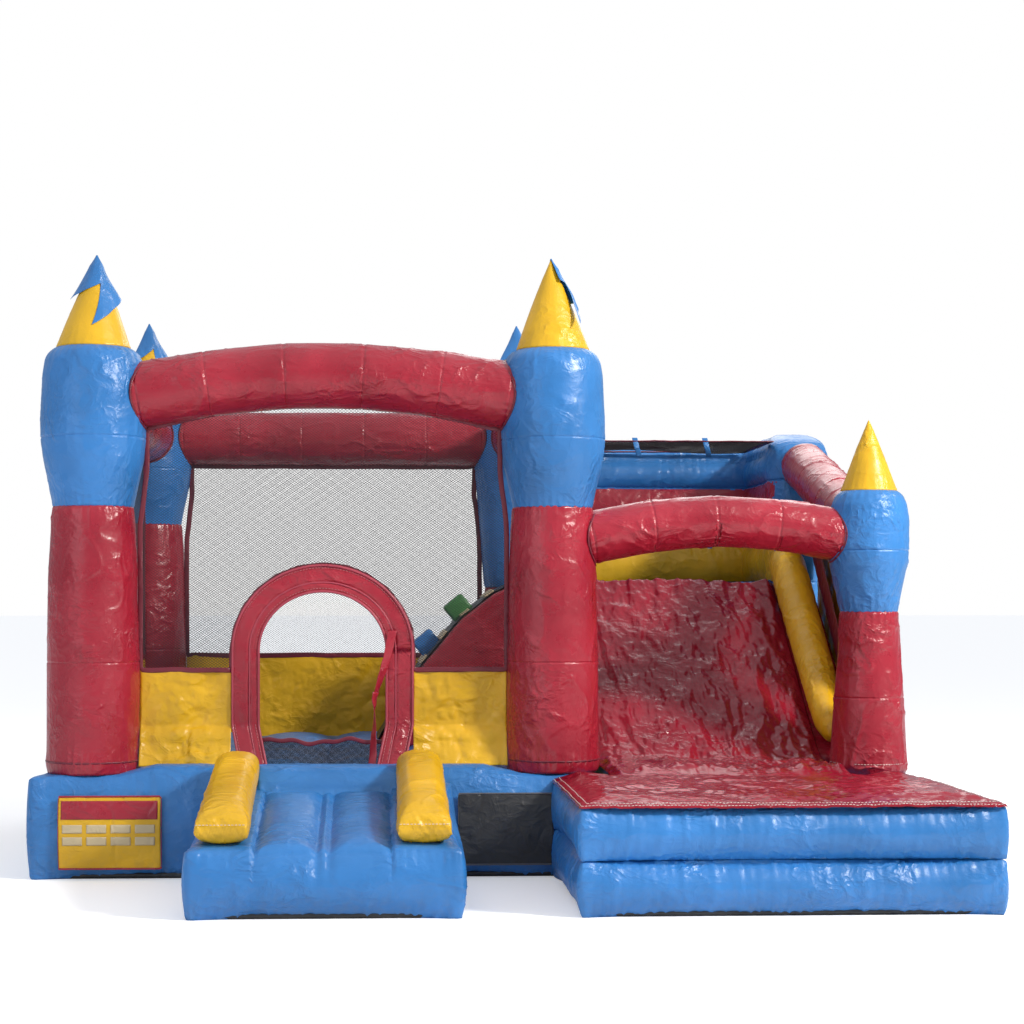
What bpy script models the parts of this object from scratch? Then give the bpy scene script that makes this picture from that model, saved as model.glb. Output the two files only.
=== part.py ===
"""An inflatable bounce house with a climbing ramp, a platform and a side slide.

Metres, +Z up. The origin is on the ground under the middle of the whole part. +X runs from the
bounce room to the slide, and the entrances face -Y.
"""

import math

import bmesh
import bpy
from mathutils import Matrix, Vector

# Driving dimensions
GAP = 0.0005  # sewn neighbours are modelled this far apart
RIGHT = 2.425  # half the overall width
FRONT = -2.535  # front of the step and of the landing
BACK = 2.195  # back face of both bases
BASE_TOP = 0.55
SLIDE_BASE_TOP = 0.53
BASE_RIGHT = 0.66  # right side of the bounce room's base
BASE_FRONT = -1.15
SKIN = 0.025  # wall of a hollow chamber: fabric, thickened to be a solid
PORT = 0.08  # radius of the air ports under the columns

LEFT_X = -2.107  # column centres
MIDDLE_X = 0.408
SLIDE_X = 2.17
FRONT_Y = -0.857
BACK_Y = 1.893
COLUMN = 0.2525  # radius of a main column
HEAD = 0.2885  # radius of its upper part
HEAD_FOOT = 1.996  # where the upper part starts
TOWER_HEAD_FOOT = 1.574  # the same on the column beside the platform
HEAD_TOP = 2.86
TIP = 3.376
CONE = 0.202  # radius of a cone's foot
SLIDE_COLUMN = 0.208
SLIDE_HEAD = 0.22
SLIDE_HEAD_FOOT = 1.422
SLIDE_HEAD_TOP = 2.09
SLIDE_TIP = 2.488

BEAM_END = 2.588  # height of a top tube's centre at its columns
ARCH_RISE = 0.116
BEAM = 0.18  # radius of a top tube
NET_TOP = 2.40
PANEL_TOP = 1.105  # top of the low vinyl panels
SHEET = 0.004  # nets, panels and covers, thickened to be solids

DOOR_LEFT = -1.353  # outside of the door frame
DOOR_RIGHT = -0.362
DOOR_TOP = 1.681
DOOR_SPRING = 1.21  # where the door's round top starts
DOOR_BAND = 0.145
DOOR_TOP_BAND = 0.15
SILL = 0.18  # height of the mesh flap in the doorway

PLATFORM_TOP = 1.60
PLATFORM_UNDER = 1.25
TOWER_FRONT = 0.86
TOWER_BACK_WALL = 1.83
TOWER_LEFT = 0.68
TOWER_RIGHT_WALL = 1.97
TOWER_OUT = 2.37  # outer face of the tower's right wall
TOWER_TOP = 2.585
SLIDE_TOE = -0.49
SLOPE_RIGHT = 2.24
SLIDE_BOLSTER = 0.10
RAIL = 0.15

STEP_LEFT = -1.475
STEP_RIGHT = -0.145
STEP_FRONT_TOP = 0.33

SLEEVE_X = -1.6
SLEEVE_Z = 0.16
SLEEVE = 0.125
TAB_TOP = 0.27
TAB = 0.018  # half the width of an anchor tab
RING_BAR_Z = 0.215
RING_WIRE = 0.004
ROUND = 24  # sides of a column


def clear_scene():
    for obj in list(bpy.data.objects):
        bpy.data.objects.remove(obj, do_unlink=True)


def material(name, colour, roughness, metallic=0.0):
    mat = bpy.data.materials.new(name)
    mat.use_nodes = True
    shader = mat.node_tree.nodes["Principled BSDF"]
    shader.inputs["Base Color"].default_value = (*colour, 1.0)
    shader.inputs["Roughness"].default_value = roughness
    shader.inputs["Metallic"].default_value = metallic
    return mat


def materials():
    return {
        "blue": material("blue_vinyl", (0.05, 0.22, 0.62), 0.4),
        "red": material("red_vinyl", (0.42, 0.012, 0.03), 0.35),
        "yellow": material("yellow_vinyl", (0.87, 0.52, 0.01), 0.4),
        "green": material("green_vinyl", (0.05, 0.35, 0.08), 0.4),
        "white": material("white_vinyl", (0.8, 0.8, 0.78), 0.5),
        "net": material("black_net", (0.015, 0.015, 0.017), 0.7),
        "steel": material("zinc_steel", (0.6, 0.6, 0.62), 0.3, 1.0),
    }


def finish_mesh(name, bm, mat, smooth=True):
    bmesh.ops.recalc_face_normals(bm, faces=bm.faces)
    mesh = bpy.data.meshes.new(name)
    bm.to_mesh(mesh)
    bm.free()
    if smooth:
        mesh.shade_smooth()
        mesh.set_sharp_from_angle(angle=math.radians(40))
    obj = bpy.data.objects.new(name, mesh)
    bpy.context.scene.collection.objects.link(obj)
    mesh.materials.append(mat)
    return obj


def block(name, low, high, mat, bevel=0.0, segments=2):
    low, high = Vector(low), Vector(high)
    bm = bmesh.new()
    bmesh.ops.create_cube(bm, size=1.0)
    bmesh.ops.scale(bm, vec=high - low, verts=bm.verts)
    bmesh.ops.translate(bm, vec=(low + high) / 2, verts=bm.verts)
    if bevel:
        bmesh.ops.bevel(bm, geom=bm.edges, offset=bevel, segments=segments, profile=0.5, affect="EDGES")
    return finish_mesh(name, bm, mat)


def prism(name, outline, along, start, end, mat, bevel=0.0):
    """An outline in the plane square to an axis, extruded along that axis from start to end."""
    place = {
        "X": lambda a, b: (start, a, b),
        "Y": lambda a, b: (a, start, b),
        "Z": lambda a, b: (a, b, start),
    }[along]
    step = Vector([end - start if axis == along else 0.0 for axis in "XYZ"])
    bm = bmesh.new()
    face = bm.faces.new([bm.verts.new(place(a, b)) for a, b in outline])
    moved = bmesh.ops.extrude_face_region(bm, geom=[face])["geom"]
    top = [item for item in moved if isinstance(item, bmesh.types.BMVert)]
    bmesh.ops.translate(bm, vec=step, verts=top)
    if bevel:
        bmesh.ops.bevel(bm, geom=bm.edges, offset=bevel, segments=2, profile=0.5, affect="EDGES")
    return finish_mesh(name, bm, mat)


def turned(name, profile, centre, mat, steps=ROUND):
    """A profile of (radius, height) points, from bottom to top, spun about a vertical axis."""
    bm = bmesh.new()
    line = [bm.verts.new((radius, 0.0, height)) for radius, height in profile]
    edges = [bm.edges.new(pair) for pair in zip(line, line[1:])]
    geom = line + edges
    bmesh.ops.spin(bm, geom=geom, axis=(0, 0, 1), cent=(0, 0, 0), angle=math.tau, steps=steps)
    bmesh.ops.remove_doubles(bm, verts=bm.verts, dist=0.00001)
    bmesh.ops.translate(bm, vec=(centre[0], centre[1], 0.0), verts=bm.verts)
    return finish_mesh(name, bm, mat)


def tube(name, points, radii, mat, resolution=2, cyclic=False):
    """A curve through points, round in section, with a radius at each point and closed ends."""
    curve = bpy.data.curves.new(name, "CURVE")
    curve.dimensions = "3D"
    curve.bevel_depth = 1.0
    curve.bevel_resolution = resolution
    curve.use_fill_caps = not cyclic
    spline = curve.splines.new("POLY")
    spline.use_cyclic_u = cyclic
    spline.points.add(len(points) - 1)
    for place, point, radius in zip(spline.points, points, radii):
        place.co = (*point, 1.0)
        place.radius = radius
    swept = bpy.data.objects.new(name + "_curve", curve)
    mesh = bpy.data.meshes.new_from_object(swept)
    bpy.data.objects.remove(swept)
    bm = bmesh.new()
    bm.from_mesh(mesh)
    bmesh.ops.remove_doubles(bm, verts=bm.verts, dist=0.00001)
    return finish_mesh(name, bm, mat)


def cutter(obj):
    obj.hide_render = True
    obj.display_type = "WIRE"
    return obj


def boolean(obj, other, operation="DIFFERENCE"):
    modifier = obj.modifiers.new(operation.lower(), "BOOLEAN")
    modifier.operation = operation
    modifier.solver = "EXACT"
    modifier.object = other
    cutter(other)


def upright_cutter(name, x, y, radius, low, high, mat, steps=ROUND):
    profile = [(0, low), (radius, low), (radius, high), (0, high)]
    return turned(name, profile, (x, y), mat, steps)


def level_cutter(name, x, y, z, radius, mat):
    """A short round cutter that lies along Y, through a wall at y."""
    obj = turned(name, [(0, -0.1), (radius, -0.1), (radius, 0.1), (0, 0.1)], (0, 0), mat, 12)
    obj.data.transform(Matrix.Translation((x, y, z)) @ Matrix.Rotation(math.pi / 2, 4, "X"))
    return obj


def hollow_base(name, low, high, ports, mat):
    """A casing with a bevelled outside, an air space inside and round ports in its top."""
    casing = block(name, low, high, mat, bevel=0.04)
    inset = Vector((SKIN, SKIN, SKIN))
    space = block(name + "_space", Vector(low) + inset, Vector(high) - inset, mat)
    boolean(casing, space)
    for number, (x, y) in enumerate(ports):
        hole = upright_cutter(f"{name}_port_{number}", x, y, PORT, high[2] - 0.1, high[2] + 0.1, mat, 12)
        boolean(casing, hole)
    return casing


def bases(mats):
    corners = [(x, y) for x in (LEFT_X, MIDDLE_X) for y in (FRONT_Y, BACK_Y)]
    low, high = (-RIGHT, BASE_FRONT, 0.0), (BASE_RIGHT, BACK, BASE_TOP)
    base = hollow_base("base_chamber", low, high, corners, mats["blue"])
    boolean(base, level_cutter("base_inlet", SLEEVE_X, BACK, SLEEVE_Z, 0.1, mats["blue"]))
    boolean(base, level_cutter("base_step_port", -0.8, BASE_FRONT, 0.25, PORT, mats["blue"]))
    baffles(mats)
    low, high = (BASE_RIGHT + 0.015, BASE_FRONT, 0.0), (RIGHT, BACK, SLIDE_BASE_TOP)
    ports = [(SLIDE_X, FRONT_Y), (1.4, 2.0)]
    hollow_base("slide_base", low, high, ports, mats["blue"])


def baffles(mats):
    """The webs that tie the base's floor to its top, joined by one cross web."""
    under, over = SKIN + 0.003, BASE_TOP - SKIN - 0.003
    front, back = BASE_FRONT + 0.12, BACK - 0.12
    webs = [-1.9, -0.88, 0.14]
    cross = block("base_baffles", (webs[0] - 0.2, 0.5, under), (webs[-1] + 0.2, 0.506, over), mats["white"])
    for number, x in enumerate(webs):
        web = block(f"base_web_{number}", (x, front, under), (x + 0.006, back, over), mats["white"])
        boolean(cross, web, "UNION")


def landing(mats):
    half = SLIDE_BASE_TOP / 2
    left, back = 0.377, BASE_FRONT - 0.015
    port = (1.3, -1.9)
    hollow_base("landing_lower", (left, FRONT, 0.0), (RIGHT, back, half - GAP), [port], mats["blue"])
    upper = hollow_base("landing_upper", (left, FRONT, half), (RIGHT, back, SLIDE_BASE_TOP), [], mats["blue"])
    hole = upright_cutter("landing_upper_port", *port, PORT, half - 0.1, half + 0.1, mats["blue"], 12)
    boolean(upper, hole)
    low = (left + 0.06, FRONT + 0.06, SLIDE_BASE_TOP + GAP)
    high = (RIGHT - 0.06, back, SLIDE_BASE_TOP + GAP + SHEET)
    block("landing_cover", low, high, mats["red"])


def step(mats):
    back = BASE_FRONT - 0.015
    outline = [(FRONT, 0.0), (FRONT, STEP_FRONT_TOP), (back, SLIDE_BASE_TOP), (back, 0.0)]
    ramp = prism("step_ramp", outline, "X", STEP_LEFT, STEP_RIGHT, mats["blue"], bevel=0.04)
    inner = [(FRONT + SKIN, SKIN), (FRONT + SKIN, STEP_FRONT_TOP - SKIN)]
    inner += [(back - SKIN, SLIDE_BASE_TOP - SKIN), (back - SKIN, SKIN)]
    boolean(ramp, prism("step_space", inner, "X", STEP_LEFT + SKIN, STEP_RIGHT - SKIN, mats["blue"]))
    boolean(ramp, level_cutter("step_port", -0.8, back, 0.25, PORT, mats["blue"]))
    start = Vector((0, FRONT + 0.14, STEP_FRONT_TOP + 0.13))
    end = Vector((0, back + 0.02, SLIDE_BASE_TOP + 0.115))
    for side, x in (("left", STEP_LEFT + 0.18), ("right", STEP_RIGHT - 0.195)):
        offset = Vector((x, 0, 0))
        roll(f"step_bolster_{side}", start + offset, end + offset, 0.145, 0.1, mats["yellow"])


def roll(name, start, end, half_width, half_height, mat):
    """A padded roll with rounded ends, wider than it is tall."""
    length = (end - start).length
    shape = ((0, 0.0), (0.6, 0.0), (0.92, 0.05), (1.0, 0.16), (1.0, 0.5))
    profile = [(radius, part * length) for radius, part in shape]
    profile += [(radius, (1 - part) * length) for radius, part in reversed(shape[:-1])]
    obj = turned(name, profile, (0, 0), mat, 16)
    turn = (end - start).to_track_quat("Z", "X").to_matrix().to_4x4()
    size = Matrix.Diagonal((half_height, half_width, 1.0, 1.0))
    obj.data.transform(Matrix.Translation(start) @ turn @ size)
    return obj


def columns(mats):
    places = {
        "front_left": (LEFT_X, FRONT_Y, HEAD_FOOT),
        "front_right": (MIDDLE_X, FRONT_Y, HEAD_FOOT),
        "back_left": (LEFT_X, BACK_Y, HEAD_FOOT),
        "back_right": (MIDDLE_X, BACK_Y, TOWER_HEAD_FOOT),
    }
    for place, (x, y, foot) in places.items():
        column(f"column_{place}", x, y, foot, mats)
        cap(f"cap_{place}", x, y, mats)
    slide_column(mats)


def column(name, x, y, foot, mats):
    low = BASE_TOP + GAP
    neck = 0.2185
    waist = [(0, low), (COLUMN * 0.93, low), (COLUMN, low + 0.06), (COLUMN, foot - 0.5)]
    waist += [(neck, foot - GAP), (0, foot - GAP)]
    turned(name + "_lower", waist, (x, y), mats["red"])
    shoulder = [(HEAD, HEAD_TOP - 0.11), (HEAD * 0.93, HEAD_TOP - 0.035), (HEAD * 0.72, HEAD_TOP - GAP)]
    body = [(0, foot), (neck, foot), (HEAD, 2.37), *shoulder, (0, HEAD_TOP - GAP)]
    turned(name + "_upper", body, (x, y), mats["blue"])
    top = [(0, HEAD_TOP), (CONE, HEAD_TOP), (CONE / 2, (HEAD_TOP + TIP) / 2), (0, TIP - 0.012)]
    turned(name + "_cone", top, (x, y), mats["yellow"])


def cap(name, x, y, mats):
    """A fabric cap on a cone: a thin cone, open below, with a deep zig-zag hem."""
    count = 12
    slope = CONE / (TIP - HEAD_TOP)
    bm = bmesh.new()
    tips, hems = [], []
    for shift in (0.0, SHEET):
        clear = 0.006 + shift
        hem = []
        for k in range(count):
            angle = math.tau * (k + 0.5) / count
            drop = 0.46 if k % 2 else 0.25
            radius = drop * slope / math.cos(math.pi / count) + clear
            hem.append(bm.verts.new((radius * math.cos(angle), radius * math.sin(angle), TIP - drop)))
        tips.append(bm.verts.new((0, 0, TIP - SHEET + shift)))
        hems.append(hem)
    for tip, hem in zip(tips, hems):
        fan(bm, tip, hem)
    band(bm, *hems)
    bmesh.ops.translate(bm, vec=(x, y, 0.0), verts=bm.verts)
    return finish_mesh(name, bm, mats["blue"])


def fan(bm, tip, loop):
    for k, vert in enumerate(loop):
        bm.faces.new((tip, vert, loop[k - 1]))


def band(bm, upper, lower):
    for k in range(len(upper)):
        bm.faces.new((upper[k - 1], upper[k], lower[k], lower[k - 1]))


def slide_column(mats):
    low, foot, top, place = SLIDE_BASE_TOP + GAP, SLIDE_HEAD_FOOT, SLIDE_HEAD_TOP, (SLIDE_X, FRONT_Y)
    neck = 0.157
    waist = [(0, low), (0.19, low), (SLIDE_COLUMN, low + 0.05), (SLIDE_COLUMN, 0.95)]
    waist += [(neck, foot - GAP), (0, foot - GAP)]
    turned("column_slide_lower", waist, place, mats["red"])
    shoulder = [(SLIDE_HEAD, top - 0.10), (SLIDE_HEAD * 0.92, top - 0.03), (SLIDE_HEAD * 0.7, top - GAP)]
    body = [(0, foot), (neck, foot), (SLIDE_HEAD, 1.70), *shoulder, (0, top - GAP)]
    turned("column_slide_upper", body, place, mats["blue"])
    cone = [(0, top), (SLIDE_HEAD * 0.7, top), (0.035, SLIDE_TIP - 0.03), (0, SLIDE_TIP)]
    turned("column_slide_cone", cone, place, mats["yellow"])


def beam(name, start, end, radius, rise, mats, notches):
    """A top tube between two columns, arched by rise and notched where it meets them."""
    start, end = Vector(start), Vector(end)
    count = 9
    points = []
    for k in range(count):
        part = k / (count - 1)
        points.append(start.lerp(end, part) + Vector((0, 0, rise * math.sin(math.pi * part))))
    obj = tube(name, points, [radius] * count, mats["red"])
    for number, (x, y, notch) in enumerate(notches):
        cut = upright_cutter(f"{name}_notch_{number}", x, y, notch + 0.0012, 1.2, 3.2, mats["red"])
        boolean(obj, cut)
    return obj


def beams(mats):
    z = BEAM_END
    head = HEAD
    fl, fr = (LEFT_X, FRONT_Y), (MIDDLE_X, FRONT_Y)
    bl, br = (LEFT_X, BACK_Y), (MIDDLE_X, BACK_Y)
    pairs = {
        "arch_front": (fl, fr, ARCH_RISE),
        "beam_back": (bl, br, 0.0),
        "beam_left": (fl, bl, 0.0),
        "beam_right": (fr, br, 0.0),
    }
    inset = 0.2
    for name, (a, b, rise) in pairs.items():
        way = (Vector((*b, z)) - Vector((*a, z))).normalized() * inset
        notches = [(*a, head), (*b, head)]
        beam(name, Vector((*a, z)) + way, Vector((*b, z)) - way, BEAM, rise, mats, notches)
    start, end = (MIDDLE_X + 0.15, FRONT_Y, 1.81), (SLIDE_X - 0.12, FRONT_Y, 1.83)
    notches = [(MIDDLE_X, FRONT_Y, COLUMN), (SLIDE_X, FRONT_Y, SLIDE_HEAD)]
    beam("arch_slide", start, end, 0.145, 0.087, mats, notches)
    start, end = (SLIDE_X, FRONT_Y + 0.12, 1.87), (2.19, TOWER_FRONT + 0.15, 2.39)
    rail = beam("rail_slide", start, end, RAIL, 0.0, mats, [(SLIDE_X, FRONT_Y, SLIDE_HEAD)])
    face = block("rail_end", (1.8, TOWER_FRONT - GAP, 1.8), (2.6, TOWER_FRONT + 0.5, 2.8), mats["red"])
    boolean(rail, face)


def tower(mats):
    foot = SLIDE_BASE_TOP + GAP
    low = (TOWER_LEFT, TOWER_BACK_WALL + GAP, foot)
    wall = block("tower_wall_back", low, (TOWER_OUT, BACK - 0.01, TOWER_TOP), mats["blue"], bevel=0.07)
    notch = upright_cutter("wall_notch", MIDDLE_X, BACK_Y, HEAD + 0.01, 0.3, 2.8, mats["blue"])
    boolean(wall, notch)
    low = (TOWER_RIGHT_WALL, TOWER_FRONT, foot)
    block("tower_wall_right", low, (TOWER_OUT, TOWER_BACK_WALL, TOWER_TOP), mats["blue"], bevel=0.07)
    low = (0.36, TOWER_FRONT + GAP, PLATFORM_UNDER)
    high = (TOWER_RIGHT_WALL - GAP, TOWER_BACK_WALL, PLATFORM_TOP)
    deck = block("tower_platform", low, high, mats["blue"], bevel=0.03)
    notch = upright_cutter("platform_notch", MIDDLE_X, BACK_Y, COLUMN + 0.01, 1.0, 2.0, mats["blue"])
    boolean(deck, notch)


def slope_point(y):
    """The height of the slide's surface at y."""
    share = (y - SLIDE_TOE) / (TOWER_FRONT - SLIDE_TOE)
    return SLIDE_BASE_TOP + 0.06 + share * (PLATFORM_TOP - SLIDE_BASE_TOP - 0.06)


def slide(mats):
    foot, toe, top = SLIDE_BASE_TOP + GAP, SLIDE_TOE, TOWER_FRONT
    outline = [(toe, foot), (toe, slope_point(toe)), (top, PLATFORM_TOP), (top, PLATFORM_UNDER - 0.05)]
    outline.append((toe + 0.55, foot))
    prism("slide_slope", outline, "X", TOWER_LEFT, SLOPE_RIGHT, mats["blue"])
    lift = GAP
    under = [(BASE_FRONT, foot + lift), (toe - 0.02, foot + lift)]
    under += [(toe, slope_point(toe) + lift), (top, PLATFORM_TOP + lift)]
    over = [(y, z + SHEET) for y, z in reversed(under)]
    prism("slide_cover", under + over, "X", TOWER_LEFT + 0.02, TOWER_RIGHT_WALL - 0.015, mats["red"])
    slope_bolster(mats)


def slope_bolster(mats):
    rise = Vector((0, TOWER_FRONT - SLIDE_TOE, PLATFORM_TOP - slope_point(SLIDE_TOE))).normalized()
    up = Vector((0, -rise.z, rise.y))
    clearance = up * (SLIDE_BOLSTER + 0.006)
    x = TOWER_RIGHT_WALL - 0.01 + SLIDE_BOLSTER
    start = Vector((x, SLIDE_TOE + 0.03, slope_point(SLIDE_TOE + 0.03))) + clearance
    end = Vector((x, TOWER_FRONT, PLATFORM_TOP)) + clearance - rise * 0.01
    roll("slide_bolster", start, end, SLIDE_BOLSTER, SLIDE_BOLSTER, mats["yellow"])


def slide_sides(mats):
    x, front, back = SLOPE_RIGHT + 0.02, FRONT_Y + 0.30, TOWER_FRONT - 0.02
    outline = [(front, SLIDE_BASE_TOP + GAP), (front, 1.72), (back, 2.12), (back, SLIDE_BASE_TOP + GAP)]
    prism("slide_side_panel", outline, "X", x, x + SHEET, mats["yellow"])
    low = (TOWER_LEFT + 0.02, TOWER_FRONT + 0.01, 2.5)
    high = (TOWER_RIGHT_WALL - GAP, TOWER_BACK_WALL - GAP, 2.5 + SHEET)
    block("net_roof", low, high, mats["net"])


def climb(mats):
    foot, front, back = BASE_TOP + GAP, TOWER_FRONT + 0.02, BACK_Y - COLUMN - 0.02
    outline = [(-0.56, foot), (-0.27, 1.06), (-0.02, 1.36), (0.2, 1.53), (0.355, PLATFORM_TOP), (0.355, foot)]
    prism("climb_ramp", outline, "Y", front, back, mats["red"])
    low, high = Vector((-0.10, front + 0.16, 1.36)), Vector((0.05, front + 0.36, 1.50))
    grip = block("climb_hold", low, high, mats["green"], bevel=0.02)
    wedge = [(-0.56, foot), (-0.27, 1.06 + 0.001), (-0.02, 1.361), (0.2, 1.531), (0.36, 1.601), (0.36, foot)]
    cut = prism("hold_seat", wedge, "Y", front - 0.1, back + 0.1, mats["green"])
    boolean(grip, cut)


def bay(start, end, low, top):
    """The outline between two columns, from low to top: the low edge, then up the end, over and down."""
    near, clear = start + COLUMN + 0.002, start + HEAD + 0.002
    far, clear_far = end - COLUMN - 0.002, end - HEAD - 0.002
    return [(near, low), (far, low), (far, 1.9), (clear_far, 2.2), *top, (clear, 2.2), (near, 1.9)]


def walls(mats):
    front, back = FRONT_Y - SHEET / 2, BACK_Y - SHEET / 2
    foot, low_edge = BASE_TOP + GAP, PANEL_TOP + GAP
    left, right = LEFT_X + HEAD + 0.002, MIDDLE_X - HEAD - 0.002
    top = [(right - (right - left) * k / 8, NET_TOP + 0.1 * math.sin(math.pi * k / 8)) for k in range(9)]
    outline = bay(LEFT_X, MIDDLE_X, low_edge, top)
    outline[1:1] = door_outline(-0.002, -0.002, low_edge)
    prism("net_front", outline, "Y", front, front + SHEET, mats["net"])
    level = [(right, NET_TOP), (left, NET_TOP)]
    prism("net_back", bay(LEFT_X, MIDDLE_X, low_edge, level), "Y", back, back + SHEET, mats["net"])
    left, right = LEFT_X + COLUMN + 0.002, MIDDLE_X - COLUMN - 0.002
    block("panel_back", (left, back, foot), (right, back + SHEET, PANEL_TOP), mats["yellow"])
    rear = front + SHEET
    block("panel_front_left", (left, front, foot), (DOOR_LEFT - 0.002, rear, PANEL_TOP), mats["yellow"])
    block("panel_front_right", (DOOR_RIGHT + 0.002, front, foot), (right, rear, PANEL_TOP), mats["yellow"])
    x = LEFT_X - SHEET / 2
    level = [(BACK_Y - HEAD - 0.002, NET_TOP), (FRONT_Y + HEAD + 0.002, NET_TOP)]
    prism("wall_left", bay(FRONT_Y, BACK_Y, foot, level), "X", x, x + SHEET, mats["net"])
    x = MIDDLE_X - SHEET / 2
    near, clear, far = FRONT_Y + COLUMN + 0.002, FRONT_Y + HEAD + 0.002, TOWER_FRONT - 0.01
    outline = [(near, foot), (far, foot), (far, NET_TOP), (clear, NET_TOP), (clear, 2.2), (near, 1.9)]
    prism("wall_right", outline, "X", x, x + SHEET, mats["net"])


def door_outline(side, over, foot):
    """The door frame's outline moved in by side and over, from foot to foot over its round top."""
    middle, half = (DOOR_LEFT + DOOR_RIGHT) / 2, (DOOR_RIGHT - DOOR_LEFT) / 2 - side
    height = DOOR_TOP - DOOR_SPRING - over
    points = [(middle - half, foot)]
    for k in range(13):
        angle = math.pi * (1 - k / 12)
        points.append((middle + half * math.cos(angle), DOOR_SPRING + height * math.sin(angle)))
    points.append((middle + half, foot))
    return points


def door(mats):
    foot, front = BASE_TOP + GAP, FRONT_Y - 0.005
    outline = door_outline(0.0, 0.0, foot) + door_outline(DOOR_BAND, DOOR_TOP_BAND, foot)[::-1]
    prism("door_arch", outline, "Y", front, front + 0.01, mats["red"])
    low = (DOOR_LEFT + DOOR_BAND + 0.003, FRONT_Y - SHEET / 2, foot + 0.003)
    high = (DOOR_RIGHT - DOOR_BAND - 0.003, FRONT_Y + SHEET / 2, foot + SILL)
    flap = block("door_flap", low, high, mats["net"])
    flap_origin(flap, Vector((0, FRONT_Y, low[2])))


def flap_origin(obj, place):
    """Puts the object's origin on its joint's axis."""
    obj.data.transform(Matrix.Translation(-place))
    obj.location = place


def sleeve_and_flap(mats):
    start, end = BACK + GAP, 2.535
    inner = SLEEVE - 0.006
    profile = [(inner, start), (SLEEVE, start), (SLEEVE, end), (inner, end), (inner, start)]
    pipe = turned("inflation_sleeve", profile, (0, 0), mats["blue"])
    pipe.data.transform(Matrix.Translation((SLEEVE_X, 0, SLEEVE_Z)) @ Matrix.Rotation(-math.pi / 2, 4, "X"))
    low, high = (-0.75, BACK + GAP, 0.20), (-0.15, BACK + GAP + SHEET, 0.34)
    flap = block("deflation_flap", low, high, mats["blue"])
    flap_origin(flap, Vector((-0.45, high[1], high[2])))


def anchors(mats):
    for side, x in (("left", -2.2), ("right", 2.2)):
        low, high = (x - TAB, BACK + GAP, RING_BAR_Z - 0.012), (x + TAB, BACK + GAP + 0.013, TAB_TOP)
        tab = block(f"anchor_tab_{side}", low, high, mats["white"])
        y = BACK + GAP + 0.0065
        bore = RING_WIRE + 0.0012
        profile = [(0, -0.1), (bore, -0.1), (bore, 0.1), (0, 0.1)]
        axle = turned(f"tab_{side}_tunnel", profile, (0, 0), mats["white"], 12)
        axle.matrix_world = Matrix.Translation((x, y, RING_BAR_Z)) @ Matrix.Rotation(math.pi / 2, 4, "Y")
        boolean(tab, axle)
        dee(f"anchor_ring_{side}", x, y, mats)


def dee(name, x, y, mats):
    """A D-shaped wire ring. Its straight bar lies on the hinge axis."""
    half = TAB + 0.016
    points = [(-half + 0.008, 0, 0), (half - 0.008, 0, 0)]
    for k in range(11):
        angle = math.pi * k / 10
        points.append((half * math.cos(angle), 0, -0.008 - half * 1.15 * math.sin(angle)))
    obj = tube(name, points, [RING_WIRE] * len(points), mats["steel"], 1, cyclic=True)
    obj.location = (x, y, RING_BAR_Z)
    return obj


def build():
    clear_scene()
    mats = materials()
    bases(mats)
    landing(mats)
    step(mats)
    columns(mats)
    beams(mats)
    tower(mats)
    slide(mats)
    slide_sides(mats)
    climb(mats)
    walls(mats)
    door(mats)
    sleeve_and_flap(mats)
    anchors(mats)


build()
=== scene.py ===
"""Looks of the inflatable bounce house: inflated vinyl, seams, nets, loose covers and trim."""

import math

import bmesh
import bpy
import numpy as np
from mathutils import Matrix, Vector


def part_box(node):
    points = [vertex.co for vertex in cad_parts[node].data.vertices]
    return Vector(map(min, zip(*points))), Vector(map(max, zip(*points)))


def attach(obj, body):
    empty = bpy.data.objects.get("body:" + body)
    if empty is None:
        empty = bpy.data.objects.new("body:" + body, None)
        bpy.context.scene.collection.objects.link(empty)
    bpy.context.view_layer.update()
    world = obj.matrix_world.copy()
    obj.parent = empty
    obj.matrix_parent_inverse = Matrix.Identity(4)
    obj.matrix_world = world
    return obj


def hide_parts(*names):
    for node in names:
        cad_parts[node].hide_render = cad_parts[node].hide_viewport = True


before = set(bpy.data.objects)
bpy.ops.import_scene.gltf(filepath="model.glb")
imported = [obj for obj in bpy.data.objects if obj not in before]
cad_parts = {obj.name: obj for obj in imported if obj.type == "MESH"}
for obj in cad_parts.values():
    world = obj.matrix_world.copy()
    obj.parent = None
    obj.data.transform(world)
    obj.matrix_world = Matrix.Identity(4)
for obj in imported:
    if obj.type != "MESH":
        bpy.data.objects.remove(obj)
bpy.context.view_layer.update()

TAU = math.tau
THREAD = 0.00115  # a net's strand, across
NET_WIDE = 0.020  # one diamond of the net
NET_TALL = 0.014
VINYL = 0.0015  # thickness of a loose vinyl sheet
COVER_CELL = 0.0085  # spacing of the points of the slide's loose cover
LANDING_CELL = 0.0095
PATCH_CELL = 0.0075
DOOR_BAND = 0.145  # width of the door's frame
WALL_TOP = 0.15  # how far the tower walls' tops round over
NOTICE = (-2.25, -1.705, 0.06, 0.445)  # x from, x to, z from, z to, on the base's front
BANNER = (-0.127, 0.384, 0.072, 0.452)


# ---------------------------------------------------------------- noise


def hashed(x, y, z, seed):
    """A repeatable value from -1 to 1 for each lattice point."""
    h = (x * 374761393 + y * 668265263 + z * 1442695041 + seed * 974634777) & 0xFFFFFFFF
    h = ((h ^ (h >> 13)) * 1274126177) & 0xFFFFFFFF
    return ((h ^ (h >> 16)) & 0xFFFF) / 32767.5 - 1.0


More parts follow.
